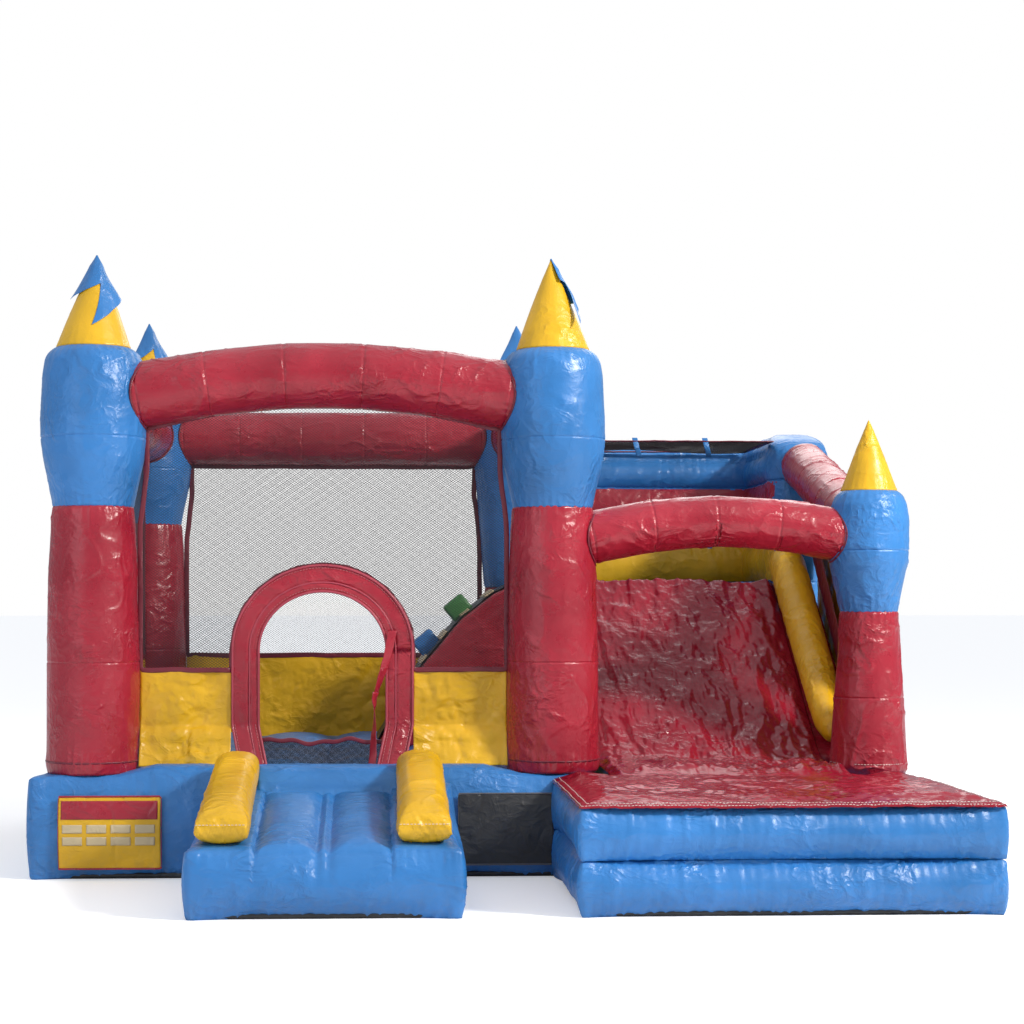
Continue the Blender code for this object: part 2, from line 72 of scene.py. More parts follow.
def noise(points, seed=0):
    """Smooth value noise, -1 to 1, on an array of 3-D points."""
    cell = np.floor(points).astype(np.int64)
    part = points - cell
    part = part * part * (3 - 2 * part)
    total = 0.0
    for dx in (0, 1):
        for dy in (0, 1):
            for dz in (0, 1):
                wx = part[..., 0] if dx else 1 - part[..., 0]
                wy = part[..., 1] if dy else 1 - part[..., 1]
                wz = part[..., 2] if dz else 1 - part[..., 2]
                value = hashed(cell[..., 0] + dx, cell[..., 1] + dy, cell[..., 2] + dz, seed)
                total = total + wx * wy * wz * value
    return total


def line_noise(along, seed=0):
    points = np.stack([along, along * 0 + 0.37, along * 0 + 0.71], -1)
    return noise(points, seed)


def turned_round(points, seed):
    """The points turned by an odd angle, so that the lattice doesn't show."""
    a, b = 0.7 + seed * 1.3, 0.4 + seed * 0.9
    x, y, z = points[..., 0], points[..., 1], points[..., 2]
    x, y = x * math.cos(a) - y * math.sin(a), x * math.sin(a) + y * math.cos(a)
    y, z = y * math.cos(b) - z * math.sin(b), y * math.sin(b) + z * math.cos(b)
    return np.stack([x, y, z], -1)


def creases(points, size, seed, width=0.16):
    """Thin raised lines, size metres apart, that come and go."""
    q = turned_round(points, seed) / size
    q = q + 0.5 * noise(q * 0.6, seed + 5)[..., None]
    line = np.clip(1 - np.abs(noise(q, seed)) / width, 0, 1)
    where = np.clip(noise(q * 0.45, seed + 9) * 1.8 + 0.25, 0, 1)
    return line * line * where


def crumple(points, size, seed, octaves=3):
    """Flat facets between sharp folds, as in loose vinyl, from -1 to 1."""
    total, weight = 0.0, 0.0
    for k in range(octaves):
        q = turned_round(points, seed + k) * (1.9**k) / size
        q = q + 0.35 * np.stack([noise(q * 0.8, seed + 20 + k + j) for j in range(3)], -1)
        fold = noise(q, seed + k) * 2.6 + noise(q * 0.5, seed + 40 + k)
        wave = np.abs((fold * 0.5) % 2 - 1) * 2 - 1
        total = total + wave * 0.58**k
        weight += 0.58**k
    return total / weight


def inflated(points, seed, amount=1.0):
    """The uneven surface of blown-up vinyl: broad waves and short creases."""
    broad = 0.0050 * noise(turned_round(points, seed) * 2.6, seed)
    large = 0.0065 * creases(points, 0.17, seed + 1, 0.13)
    small = 0.0040 * creases(points, 0.075, seed + 2, 0.17)
    fine = 0.0016 * creases(points, 0.035, seed + 3, 0.25)
    return amount * (broad + large + small + fine)


def puckers(along, distance, seed, wave=0.045, height=0.006, reach=0.07):
    """Short folds that run away from a seam and fade. along and distance are in metres."""
    phase = along / wave + 1.3 * line_noise(along * 5, seed)
    fold = 1 - np.abs(np.sin(math.pi * phase))
    size = 0.55 + 0.45 * line_noise(along * 9, seed + 3)
    far = reach * (0.7 + 0.6 * np.abs(line_noise(along * 14, seed + 7)))
    return height * size * (fold**1.6 - 0.25) * np.exp(-np.abs(distance) / far)


def groove(distance, depth=0.006, width=0.006):
    return -depth * np.exp(-((distance / width) ** 2))


# ---------------------------------------------------------------- materials


def shader_of(mat):
    return mat.node_tree.nodes["Principled BSDF"]


def ramp_mix(tree, factor, dark, light):
    mix = tree.nodes.new("ShaderNodeMix")
    mix.data_type = "RGBA"
    mix.inputs[6].default_value = (*dark, 1)
    mix.inputs[7].default_value = (*light, 1)
    tree.links.new(factor, mix.inputs[0])
    return mix.outputs[2]


def noise_node(tree, coords, scale, detail=3.0, distortion=0.0):
    node = tree.nodes.new("ShaderNodeTexNoise")
    node.inputs["Scale"].default_value = scale
    node.inputs["Detail"].default_value = detail
    node.inputs["Distortion"].default_value = distortion
    tree.links.new(coords, node.inputs["Vector"])
    return node.outputs["Fac"]


def ridge_node(tree, coords, scale, turn):
    """Sharp creases: a ridged noise, stretched along a slanting direction, that fades in patches."""
    mapping = tree.nodes.new("ShaderNodeMapping")
    mapping.inputs["Rotation"].default_value = turn
    mapping.inputs["Scale"].default_value = (1.0, 2.3, 1.3)
    tree.links.new(coords, mapping.inputs["Vector"])
    node = tree.nodes.new("ShaderNodeTexNoise")
    node.noise_type = "RIDGED_MULTIFRACTAL"
    for socket, value in (("Scale", scale), ("Detail", 3.0), ("Roughness", 0.5), ("Distortion", 0.7)):
        node.inputs[socket].default_value = value
    node.inputs["Lacunarity"].default_value = 2.3
    node.inputs["Offset"].default_value = 0.95
    node.inputs["Gain"].default_value = 1.4
    tree.links.new(mapping.outputs["Vector"], node.inputs["Vector"])
    patch = remap(tree, noise_node(tree, coords, 3.1, 2.0), 0.42, 0.62, 0.15, 1.0)
    product = tree.nodes.new("ShaderNodeMath")
    product.operation = "MULTIPLY"
    tree.links.new(node.outputs["Fac"], product.inputs[0])
    tree.links.new(patch, product.inputs[1])
    return product.outputs[0]


def remap(tree, value, low, high, to_low, to_high):
    node = tree.nodes.new("ShaderNodeMapRange")
    for socket, number in zip(node.inputs[1:5], (low, high, to_low, to_high)):
        socket.default_value = number
    tree.links.new(value, node.inputs[0])
    return node.outputs[0]


def bump(tree, height, strength, distance, below=None):
    node = tree.nodes.new("ShaderNodeBump")
    node.inputs["Strength"].default_value = strength
    node.inputs["Distance"].default_value = distance
    tree.links.new(height, node.inputs["Height"])
    if below is not None:
        tree.links.new(below, node.inputs["Normal"])
    return node.outputs["Normal"]


def vinyl(name, colour, roughness=0.36, coat=0.25, crinkle=0.5, dirt=0.25):
    """Coated fabric: colour that varies a little, grime low down, creases and the fabric's grain."""
    mat = bpy.data.materials.new(name)
    mat.use_nodes = True
    tree = mat.node_tree
    shader = shader_of(mat)
    shader.inputs["Coat Weight"].default_value = coat
    shader.inputs["Coat Roughness"].default_value = 0.18
    shader.inputs["IOR"].default_value = 1.5
    coords = tree.nodes.new("ShaderNodeTexCoord").outputs["Object"]
    dark = tuple(c * 0.78 for c in colour)
    light = tuple(min(1.0, c * 1.12 + 0.008) for c in colour)
    patches = remap(tree, noise_node(tree, coords, 2.2, 5.0, 0.4), 0.3, 0.7, 0.0, 1.0)
    base = ramp_mix(tree, patches, dark, light)
    split = tree.nodes.new("ShaderNodeSeparateXYZ")
    tree.links.new(coords, split.inputs[0])
    low = remap(tree, split.outputs["Z"], 0.0, 0.22, dirt, 0.0)
    speckle = remap(tree, noise_node(tree, coords, 24.0, 6.0, 0.8), 0.4, 0.75, 0.0, 1.0)
    grime = tree.nodes.new("ShaderNodeMath")
    grime.operation = "MULTIPLY"
    tree.links.new(low, grime.inputs[0])
    tree.links.new(speckle, grime.inputs[1])
    soiled = tree.nodes.new("ShaderNodeMix")
    soiled.data_type = "RGBA"
    soiled.inputs[7].default_value = (0.16, 0.14, 0.12, 1)
    tree.links.new(grime.outputs[0], soiled.inputs[0])
    tree.links.new(base, soiled.inputs[6])
    tree.links.new(soiled.outputs[2], shader.inputs["Base Color"])
    rough = remap(tree, noise_node(tree, coords, 9.0, 4.0), 0.3, 0.7, roughness - 0.07, roughness + 0.09)
    tree.links.new(rough, shader.inputs["Roughness"])
    wide = bump(tree, ridge_node(tree, coords, 5.5, (0.5, 0.3, 0.7)), crinkle, 0.012)
    slanted = bump(tree, ridge_node(tree, coords, 11.0, (1.1, 0.6, 0.2)), crinkle * 0.8, 0.006, wide)
    tight = bump(tree, noise_node(tree, coords, 42.0, 4.0, 2.0), crinkle * 0.5, 0.0025, slanted)
    grain = tree.nodes.new("ShaderNodeTexWave")
    grain.inputs["Scale"].default_value = 260.0
    grain.inputs["Distortion"].default_value = 1.5
    tree.links.new(coords, grain.inputs["Vector"])
    normal = bump(tree, grain.outputs["Fac"], 0.06, 0.0004, tight)
    tree.links.new(normal, shader.inputs["Normal"])
    return mat


def plain(name, colour, roughness, scale=90.0, strength=0.25):
    """Webbing, thread and net: a base colour that varies, and a fine bump."""
    mat = bpy.data.materials.new(name)
    mat.use_nodes = True
    tree = mat.node_tree
    shader = shader_of(mat)
    coords = tree.nodes.new("ShaderNodeTexCoord").outputs["Object"]
    spots = noise_node(tree, coords, scale, 4.0)
    dark = tuple(c * 0.7 for c in colour)
    light = tuple(min(1.0, c * 1.2) for c in colour)
    tree.links.new(ramp_mix(tree, spots, dark, light), shader.inputs["Base Color"])
    rough = remap(tree, spots, 0.3, 0.7, roughness - 0.08, roughness + 0.08)
    tree.links.new(rough, shader.inputs["Roughness"])
    tree.links.new(bump(tree, spots, strength, 0.001), shader.inputs["Normal"])
    return mat


BLUE = vinyl("blue_vinyl_look", (0.026, 0.190, 0.52), 0.35, 0.10, 0.55)
RED = vinyl("red_vinyl_look", (0.36, 0.008, 0.026), 0.30, 0.18, 0.55)
# Red vinyl at about half brightness, which is painted shade: the bindings, hems, piping and the slide's side
# strip are darkened as if they lay in shade.
SHADED_RED = vinyl("shaded_red_binding_look", (0.17, 0.008, 0.024), 0.42, 0.1, 0.4)
GLOSS_RED = vinyl("cover_red_look", (0.27, 0.003, 0.018), 0.15, 0.12, 0.35, 0.0)
shader_of(GLOSS_RED).inputs["IOR"].default_value = 1.38
YELLOW = vinyl("yellow_vinyl_look", (0.76, 0.43, 0.004), 0.36, 0.05, 0.5)
GREEN = vinyl("green_vinyl_look", (0.045, 0.22, 0.05), 0.45, 0.1, 0.4)
BLACK = vinyl("black_vinyl_look", (0.018, 0.019, 0.022), 0.45, 0.15, 0.4, 0.1)
PIPING = vinyl("piping_look", (0.40, 0.045, 0.075), 0.4, 0.2, 0.3)
CREAM = vinyl("cream_vinyl_look", (0.62, 0.50, 0.30), 0.5, 0.1, 0.4)
NET = plain("black_net_look", (0.022, 0.023, 0.026), 0.6)
THREAD_WHITE = plain("thread_look", (0.72, 0.66, 0.62), 0.6, scale=400.0)
THREAD_PINK = plain("pink_thread_look", (0.55, 0.20, 0.22), 0.6, scale=400.0)
WEBBING = plain("webbing_look", (0.12, 0.12, 0.13), 0.75, scale=300.0, strength=0.6)


# ---------------------------------------------------------------- meshes


def mesh_piece(name, points, faces, mat, smooth=True, tidy=False):
    mesh = bpy.data.meshes.new(name)
    mesh.from_pydata(np.asarray(points, float).reshape(-1, 3).tolist(), [], faces)
    if tidy:
        bm = bmesh.new()
        bm.from_mesh(mesh)
        bmesh.ops.remove_doubles(bm, verts=bm.verts, dist=1e-5)
        bmesh.ops.recalc_face_normals(bm, faces=bm.faces)
        bm.to_mesh(mesh)
        bm.free()
    if smooth:
        mesh.shade_smooth()
    for one in mat if isinstance(mat, (list, tuple)) else [mat]:
        mesh.materials.append(one)
    obj = bpy.data.objects.new(name, mesh)
    bpy.context.scene.collection.objects.link(obj)
    return obj


def grid_faces(rows, columns, wrap_columns=False):
    index = np.arange(rows * columns).reshape(rows, columns)
    down, here = index[1:], index[:-1]
    if wrap_columns:
        a, b = here, np.roll(here, -1, 1)
        c, d = np.roll(down, -1, 1), down
    else:
        a, b, c, d = here[:, :-1], here[:, 1:], down[:, 1:], down[:, :-1]
    return np.stack([a, b, c, d], -1).reshape(-1, 4).tolist()


def grid_piece(name, grid, mat, wrap_columns=False, closed=False):
    """A piece from a grid of points. closed fans the first and last rows to their middles."""
    rows, columns = grid.shape[:2]
    faces = grid_faces(rows, columns, wrap_columns)
    points = grid.reshape(-1, 3)
    if closed:
        first, last = rows * columns, rows * columns + 1
        points = np.vstack([points, grid[0].mean(0), grid[-1].mean(0)])
        for k in range(columns):
            n = (k + 1) % columns
            faces.append([n, k, first])
            faces.append([(rows - 1) * columns + k, (rows - 1) * columns + n, last])
    return mesh_piece(name, points, faces, mat, tidy=closed)


def grid_normals(grid):
    normal = np.cross(np.gradient(grid, axis=0), np.gradient(grid, axis=1))
    return normal / np.maximum(np.linalg.norm(normal, axis=-1, keepdims=True), 1e-9)


def steps(low, high, spacing, seams=(), fine=0.004):
    """Values from low to high, closer together beside each seam."""
    count = max(2, int((high - low) / spacing) + 1)
    values = set(np.linspace(low, high, count).round(5))
    for seam in seams:
        for k in range(-3, 4):
            value = seam + k * fine
            if low < value < high:
                values.add(round(value, 5))
    return np.array(sorted(values))


def smooth_curve(x, points):
    """A soft curve through (x, y) points."""
    xs, ys = zip(*points)
    fine = np.linspace(xs[0], xs[-1], 400)
    curve = np.interp(fine, xs, ys)
    kernel = np.hanning(31)
    padded = np.pad(curve, 15, mode="reflect", reflect_type="odd")
    curve = np.convolve(padded, kernel / kernel.sum(), mode="valid")
    return np.interp(x, fine, curve)


def path_frames(path):
    """The tangent, side and up directions along a path of points."""
    tangent = np.gradient(path, axis=0)
    tangent /= np.linalg.norm(tangent, axis=1, keepdims=True)
    side = np.cross(tangent, (0.0, 0.0, 1.0))
    flat = np.linalg.norm(side, axis=1, keepdims=True)
    side = np.where(flat > 1e-3, side / np.maximum(flat, 1e-9), (1.0, 0.0, 0.0))
    return tangent, side, np.cross(side, tangent)


def cord_piece(name, points, radius, mat, cyclic=False):
    """A thin round piping or welt through points."""
    curve = bpy.data.curves.new(name, "CURVE")
    curve.dimensions = "3D"
    curve.bevel_depth = radius
    curve.bevel_resolution = 2
    curve.use_fill_caps = not cyclic
    spline = curve.splines.new("POLY")
    spline.use_cyclic_u = cyclic
    spline.points.add(len(points) - 1)
    for place, point in zip(spline.points, points):
        place.co = (*point, 1.0)
    curve.materials.append(mat)
    swept = bpy.data.objects.new(name + "_curve", curve)
    mesh = bpy.data.meshes.new_from_object(swept)
    bpy.data.objects.remove(swept)
    mesh.shade_smooth()
    obj = bpy.data.objects.new(name, mesh)
    bpy.context.scene.collection.objects.link(obj)
    return obj


def ribbon(name, path, across, width, thick, mat, seed=0, rough=0.0):
    """A flat band along a path, width wide in the direction across, with rounded edges."""
    path = np.asarray(path, float)
    across = np.broadcast_to(np.asarray(across, float), path.shape)
    tangent = np.gradient(path, axis=0)
    tangent /= np.linalg.norm(tangent, axis=1, keepdims=True)
    across = across / np.linalg.norm(across, axis=1, keepdims=True)
    out = np.cross(tangent, across)
    out /= np.maximum(np.linalg.norm(out, axis=1, keepdims=True), 1e-9)
    angle = np.linspace(0, TAU, 16, endpoint=False)
    wide = np.sign(np.cos(angle)) * np.abs(np.cos(angle)) ** 0.6 * width / 2
    tall = np.sin(angle) * thick / 2
    grid = path[:, None] + across[:, None] * wide[None, :, None] + out[:, None] * tall[None, :, None]
    if rough:
        grid = grid + out[:, None] * (rough * noise(grid * 28, seed))[..., None]
    return grid_piece(name, grid, mat, wrap_columns=True, closed=True)


def stitches(name, path, across, mat, length=0.011, gap=0.006, size=0.0016):
    """A row of thread stitches along a path, lying on the surface."""
    path = np.asarray(path, float)
    run = np.concatenate([[0], np.cumsum(np.linalg.norm(np.diff(path, axis=0), axis=1))])
    starts = np.arange(0, run[-1] - length, length + gap)
    points, faces = [], []
    side = np.asarray(across, float) / np.linalg.norm(across)
    for start in starts:
        a = np.array([np.interp(start, run, path[:, k]) for k in range(3)])
        b = np.array([np.interp(start + length, run, path[:, k]) for k in range(3)])
        up = np.cross(b - a, side)
        up *= size / max(np.linalg.norm(up), 1e-9)
        base = len(points)
        for end in (a, b):
            for offset in (side * size, up, -side * size, -up):
                points.append(end + offset)
        for k in range(4):
            n = (k + 1) % 4
            faces.append([base + k, base + n, base + 4 + n, base + 4 + k])
        faces.append([base + 3, base + 2, base + 1, base])
        faces.append([base + 4, base + 5, base + 6, base + 7])
    return mesh_piece(name, points, faces, mat)


def put(obj, slot, *nodes, body="root"):
    """Rides a piece on its body and hides the CAD nodes that it stands for."""
    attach(obj, body)
    if nodes:
        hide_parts(*nodes)
    return obj


def middle_of(node):
    low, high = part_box(node)
    return (low + high) / 2


# ---------------------------------------------------------------- columns


def lathe(name, centre, heights, radii, mat, seams=(), edges=(), seed=0, amount=1.0, lean=0.0, sides=150):
    """An upright inflated body. Seams are thin grooves, edges are hems with puckers beside them."""
    angle = np.linspace(0, TAU, sides, endpoint=False)
    low = heights[0]
    grid = np.zeros((len(heights), sides, 3))
    shift = lean * (heights - low)
    grid[..., 0] = centre[0] + shift[:, None] + radii[:, None] * np.cos(angle)
    grid[..., 1] = centre[1] + radii[:, None] * np.sin(angle)
    grid[..., 2] = heights[:, None]
    push = inflated(grid, seed, amount)
    arc = np.broadcast_to(angle * radii.max(), grid.shape[:2])
    for k, seam in enumerate(seams):
        away = np.broadcast_to((heights - seam)[:, None], arc.shape)
        push = push + groove(away, 0.004, 0.004) + puckers(arc, away, seed + k, 0.07, 0.0035, 0.05)
    for k, edge in enumerate(edges):
        away = np.broadcast_to((heights - edge)[:, None], arc.shape)
        push = push + puckers(arc, away, seed + 30 + k, 0.05, 0.010, 0.06)
    ends = np.minimum(heights - low, heights[-1] - heights)[:, None]
    push = push * np.clip(ends / 0.01, 0, 1)
    out = np.stack([np.cos(angle), np.sin(angle), angle * 0], -1)
    grid = grid + out[None] * push[..., None]
    return grid_piece(name, grid, mat, wrap_columns=True, closed=True)


def ring_points(centre, radius, height, count=96):
    angle = np.linspace(0, TAU, count, endpoint=False)
    return np.stack(
        [centre[0] + radius * np.cos(angle), centre[1] + radius * np.sin(angle), angle * 0 + height], -1
    )


def main_column(place, seed):
    lower, upper, cone = (f"column_{place}_{part}" for part in ("lower", "upper", "cone"))
    centre = middle_of(lower)
    low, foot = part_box(lower)[0].z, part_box(upper)[0].z
    shoulder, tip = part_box(cone)[0].z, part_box(cone)[1].z
    seam = low + 0.60
    z = steps(low, foot + 0.004, 0.012, (seam, low + 0.065))
    girth = [
        (low, 0.246), (low + 0.05, 0.256), (low + 0.09, 0.252), (seam, 0.249), (foot - 0.35, 0.240),
        (foot - 0.03, 0.222), (foot + 0.004, 0.216),
    ]
    r = smooth_curve(z, girth)
    piece = lathe(lower, centre, z, r, RED, (seam,), (foot, low + 0.065), seed)
    piece.name = f"{place}_column_red"
    put(piece, "red_vinyl", lower)
    hem = cord_piece(f"{place}_column_hem", ring_points(centre, 0.2535, low + 0.065), 0.006, SHADED_RED, True)
    put(hem, "red_vinyl")
    wide = 2.37
    z = steps(foot - 0.004, shoulder + 0.004, 0.012, (wide,))
    girth = [
        (foot - 0.004, 0.2165), (foot + 0.05, 0.228), (wide - 0.10, 0.276), (wide, 0.2865),
        (wide + 0.1, 0.2875), (shoulder - 0.14, 0.276), (shoulder - 0.06, 0.262), (shoulder - 0.02, 0.238),
        (shoulder + 0.004, 0.198),
    ]
    piece = lathe(upper, centre, z, smooth_curve(z, girth), BLUE, (wide,), (foot, shoulder - 0.01), seed + 50)
    piece.name = f"{place}_column_blue"
    put(piece, "blue_vinyl", upper)
    z = steps(shoulder, tip, 0.012)
    part = (z - shoulder) / (tip - shoulder)
    r = 0.2015 * (1 - part) + 0.008 * np.sin(math.pi * part) + 0.0006
    lean = TIP_LEAN.get(place, 0.0) / (tip - shoulder)
    piece = lathe(cone, centre, z, r, YELLOW, (), (shoulder,), seed + 80, 0.25, lean, 96)
    piece.name = f"{place}_column_yellow_cone"
    put(piece, "yellow_vinyl", cone)


def slide_column(seed):
    centre = middle_of("column_slide_lower")
    low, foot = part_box("column_slide_lower")[0].z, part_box("column_slide_upper")[0].z
    shoulder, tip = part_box("column_slide_cone")[0].z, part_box("column_slide_cone")[1].z
    seam = low + 0.42
    z = steps(low, foot + 0.004, 0.012, (seam, low + 0.05))
    girth = [
        (low, 0.200), (low + 0.04, 0.210), (low + 0.09, 0.208), (seam, 0.190), (foot - 0.2, 0.166),
        (foot + 0.004, 0.156),
    ]
    piece = lathe(
        "slide_column_red", centre, z, smooth_curve(z, girth), RED, (seam,), (foot, low + 0.05), seed
    )
    put(piece, "red_vinyl", "column_slide_lower")
    hem = stitches(
        "slide_column_stitches", np.vstack([ring_points(centre, 0.2115, low + 0.06)] * 1), (0, 0, 1),
        THREAD_WHITE,
    )
    put(hem, "white_vinyl")
    wide = 1.761
    z = steps(foot - 0.004, shoulder + 0.004, 0.011, (wide,))
    girth = [
        (foot - 0.004, 0.155), (foot + 0.05, 0.166), (wide - 0.06, 0.213), (wide, 0.2175),
        (shoulder - 0.16, 0.2180), (shoulder - 0.07, 0.205), (shoulder - 0.02, 0.182),
        (shoulder + 0.004, 0.152),
    ]
    piece = lathe(
        "slide_column_blue", centre, z, smooth_curve(z, girth), BLUE, (wide,), (foot, shoulder - 0.01),
        seed + 50, sides=130,
    )
    put(piece, "blue_vinyl", "column_slide_upper")
    z = steps(shoulder, tip, 0.011)
    part = (z - shoulder) / (tip - shoulder)
    r = 0.1535 * (1 - part) + 0.004 * np.sin(math.pi * part) + 0.0006
    piece = lathe("slide_column_yellow_cone", centre, z, r, YELLOW, (), (shoulder,), seed + 80, 0.5, sides=80)
    put(piece, "yellow_vinyl", "column_slide_cone")


CAP_OUTLINES = {
    "front_left": [
        (-186, 0.004), (-184, 0.10), (-182, 0.245), (-62, 0.165), (-87, 0.405), (1, 0.245), (7, 0.10),
        (8, 0.004),
    ],
    "back_left": [
        (-140, 0.004), (-142, 0.10), (-132, 0.275), (-62, 0.180), (-60, 0.405), (5, 0.245), (12, 0.10),
        (14, 0.004),
    ],
    "front_right": [
        (-66, 0.004), (-64, 0.06), (-58, 0.130), (-22, 0.140), (-54, 0.385), (-4, 0.250), (80, 0.245),
        (112, 0.10), (114, 0.004),
    ],
    "back_right": [
        (-150, 0.004), (-150, 0.10), (-146, 0.265), (-80, 0.180), (-95, 0.405), (5, 0.245), (12, 0.10),
        (14, 0.004),
    ],
}
TIP_LEAN = {"front_left": 0.019, "front_right": -0.010}


def cap(place, seed):
    """The zig-zag cloth on a cone. Its outline is drawn on the unrolled cone: degrees round, metres down."""
    node = f"cap_{place}"
    centre, top = middle_of(f"column_{place}_cone"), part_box(node)[1].z - 0.001
    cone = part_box(f"column_{place}_cone")
    slope = (cone[1].x - cone[0].x) / 2 / (top - cone[0].z)
    bm = bmesh.new()
    face = bm.faces.new([bm.verts.new((a / 180.0, d, 0)) for a, d in CAP_OUTLINES[place]])
    bmesh.ops.triangulate(bm, faces=[face])
    for _ in range(5):
        bmesh.ops.subdivide_edges(bm, edges=bm.edges[:], cuts=1, use_grid_fill=True)
    points = np.array([v.co for v in bm.verts])
    faces = [[v.index for v in f.verts] for f in bm.faces]
    bm.free()
    angle, drop = np.radians(points[:, 0] * 180), points[:, 1]
    ends = [a for a, _ in CAP_OUTLINES[place]]
    aside = np.abs(points[:, 0] * 180 - (ends[0] + ends[-1]) / 2) / ((ends[-1] - ends[0]) / 2)
    loose = 0.035 if place == "front_right" else 0.0
    lift = 0.011 + 0.040 * (drop / 0.25) ** 2 * np.clip(aside * 2 - 1.1, 0, 1)
    shoulder = np.clip(1.2 - aside, 0, 1) * np.clip(aside * 3 - 0.4, 0, 1)
    lift = lift + loose * np.clip(drop / 0.2, 0, 1) * shoulder
    wave = np.stack([points[:, 0] * 6, drop * 9, drop * 0 + seed], -1)
    lift = lift + 0.005 * noise(wave, seed) * np.clip(drop / 0.1, 0, 1)
    radius = drop * slope + lift * np.clip(drop / 0.06, 0.25, 1)
    lean = TIP_LEAN.get(place, 0.0) * (1 - drop / (top - cone[0].z))
    spots = np.stack(
        [centre.x + lean + radius * np.cos(angle), centre.y + radius * np.sin(angle), top - drop], -1
    )
    piece = mesh_piece(f"{place}_zigzag_cap", spots, faces, BLUE)
    thicken(piece, 0.0015)
    put(piece, "blue_vinyl", node)


def thicken(obj, thickness=VINYL, offset=0.0):
    solid = obj.modifiers.new("thickness", "SOLIDIFY")
    solid.thickness = thickness
    solid.offset = offset
    return obj


# ---------------------------------------------------------------- top tubes


def tube_piece(name, path, radius, mat, seams, seed):
    """An inflated tube along a path, with sewn rings at the given parts of its length."""
    path = np.asarray(path, float)
    run = np.concatenate([[0], np.cumsum(np.linalg.norm(np.diff(path, axis=0), axis=1))])
    at = steps(0, run[-1], 0.012, [s * run[-1] for s in seams])
    line = np.stack([np.interp(at, run, path[:, k]) for k in range(3)], -1)
    _, side, up = path_frames(line)
    angle = np.linspace(0, TAU, 120, endpoint=False)
    ring = side[:, None] * np.cos(angle)[None, :, None] + up[:, None] * np.sin(angle)[None, :, None]
    size = np.full(len(at), radius) if np.isscalar(radius) else np.interp(at / run[-1], *zip(*radius))
    grid = line[:, None] + ring * size[:, None, None]
    push = inflated(grid, seed, 1.0)
    arc = np.broadcast_to(angle * size.mean(), push.shape)
    for k, seam in enumerate(seams):
        away = np.broadcast_to((at - seam * run[-1])[:, None], push.shape)
        push = push + groove(away, 0.004, 0.006) + puckers(arc, away, seed + k, 0.05, 0.006, 0.06)
    push = push - 0.004
    grid = grid + ring * push[..., None]
    return grid_piece(name, grid, mat, wrap_columns=True, closed=True)


def tube_collar(name, column, radius, axis, place, tube_radius, sign):
    """The piping where a tube meets a column: the oval where the two round shapes cross."""
    angle = np.linspace(0, TAU, 90, endpoint=False)
    along, up = tube_radius * np.cos(angle), tube_radius * np.sin(angle)
    reach = np.sqrt(np.maximum(radius**2 - along**2, 0.0)) + 0.004
    points = np.zeros((len(angle), 3))
    points[:, axis] = column[axis] + sign * reach
    points[:, 1 - axis] = place[1 - axis] + along
    points[:, 2] = place[2] + up
    return put(cord_piece(name, points, 0.006, SHADED_RED, True), "red_vinyl")


def arch_path(node, rise, reach, facets=5):
    """The middle line of a tube from its CAD box, with reach into each column."""
    low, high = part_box(node)
    along = 0 if high.x - low.x > high.y - low.y else 1
    start, end = np.array((low + high) / 2), np.array((low + high) / 2)
    start[along], end[along] = low[along] - reach, high[along] + reach
    part = np.linspace(0, 1, 121)
    bend = np.interp(part, np.linspace(0, 1, facets + 1), np.sin(np.pi * np.linspace(0, 1, facets + 1)))
    soft = 0.5 * bend + 0.5 * np.sin(math.pi * part)
    path = start + (end - start) * part[:, None]
    path[:, 2] += rise * soft
    return path, along


def top_tubes():
    tubes = {
        "arch_front": (0.116, 0.184, ("front_left", "front_right"), 3),
        "beam_back": (0.0, 0.184, ("back_left", "back_right"), 13),
        "beam_left": (0.0, 0.184, ("front_left", "back_left"), 23),
        "beam_right": (0.0, 0.184, ("front_right", "back_right"), 33),
    }
    for node, (rise, radius, ends, seed) in tubes.items():
        low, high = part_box(node)
        path, along = arch_path(node, rise, 0.02)
        path[:, 2] += (low.z + radius) - path[0, 2] if rise else 0.0
        seams = (0.02, 0.2, 0.4, 0.6, 0.8, 0.98)
        piece = tube_piece(f"{node}_tube", path, radius, RED, seams, seed)
        put(piece, "red_vinyl", node)
        for end, sign in zip(ends, (1, -1)):
            column = middle_of(f"column_{end}_upper")
            place = path[0] if sign > 0 else path[-1]
            tube_collar(f"{node}_{end}_piping", column, 0.284, along, place, radius, sign)
    path, along = arch_path("arch_slide", 0.087, 0.02, 4)
    low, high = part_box("arch_slide")
    path[:, 2] += np.linspace(low.z + 0.145, low.z + 0.165, len(path)) - path[0, 2]
    piece = tube_piece("arch_slide_tube", path, 0.148, RED, (0.02, 0.26, 0.5, 0.74, 0.98), 43)
    put(piece, "red_vinyl", "arch_slide")
    tube_collar("arch_slide_left_piping", middle_of("column_front_right_lower"), 0.232, 0, path[0], 0.148, 1)
    tube_collar("arch_slide_right_piping", middle_of("column_slide_upper"), 0.212, 0, path[-1], 0.148, -1)
    low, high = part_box("rail_slide")
    start = Vector((2.17, low.y - 0.03, low.z + 0.155))
    end = Vector((2.19, high.y + 0.03, high.z - 0.155))
    path = np.array([start.lerp(end, t) for t in np.linspace(0, 1, 60)])
    piece = tube_piece("rail_slide_tube", path, 0.152, RED, (0.03, 0.36, 0.68, 0.97), 53)
    put(piece, "red_vinyl", "rail_slide")


# ---------------------------------------------------------------- chambers


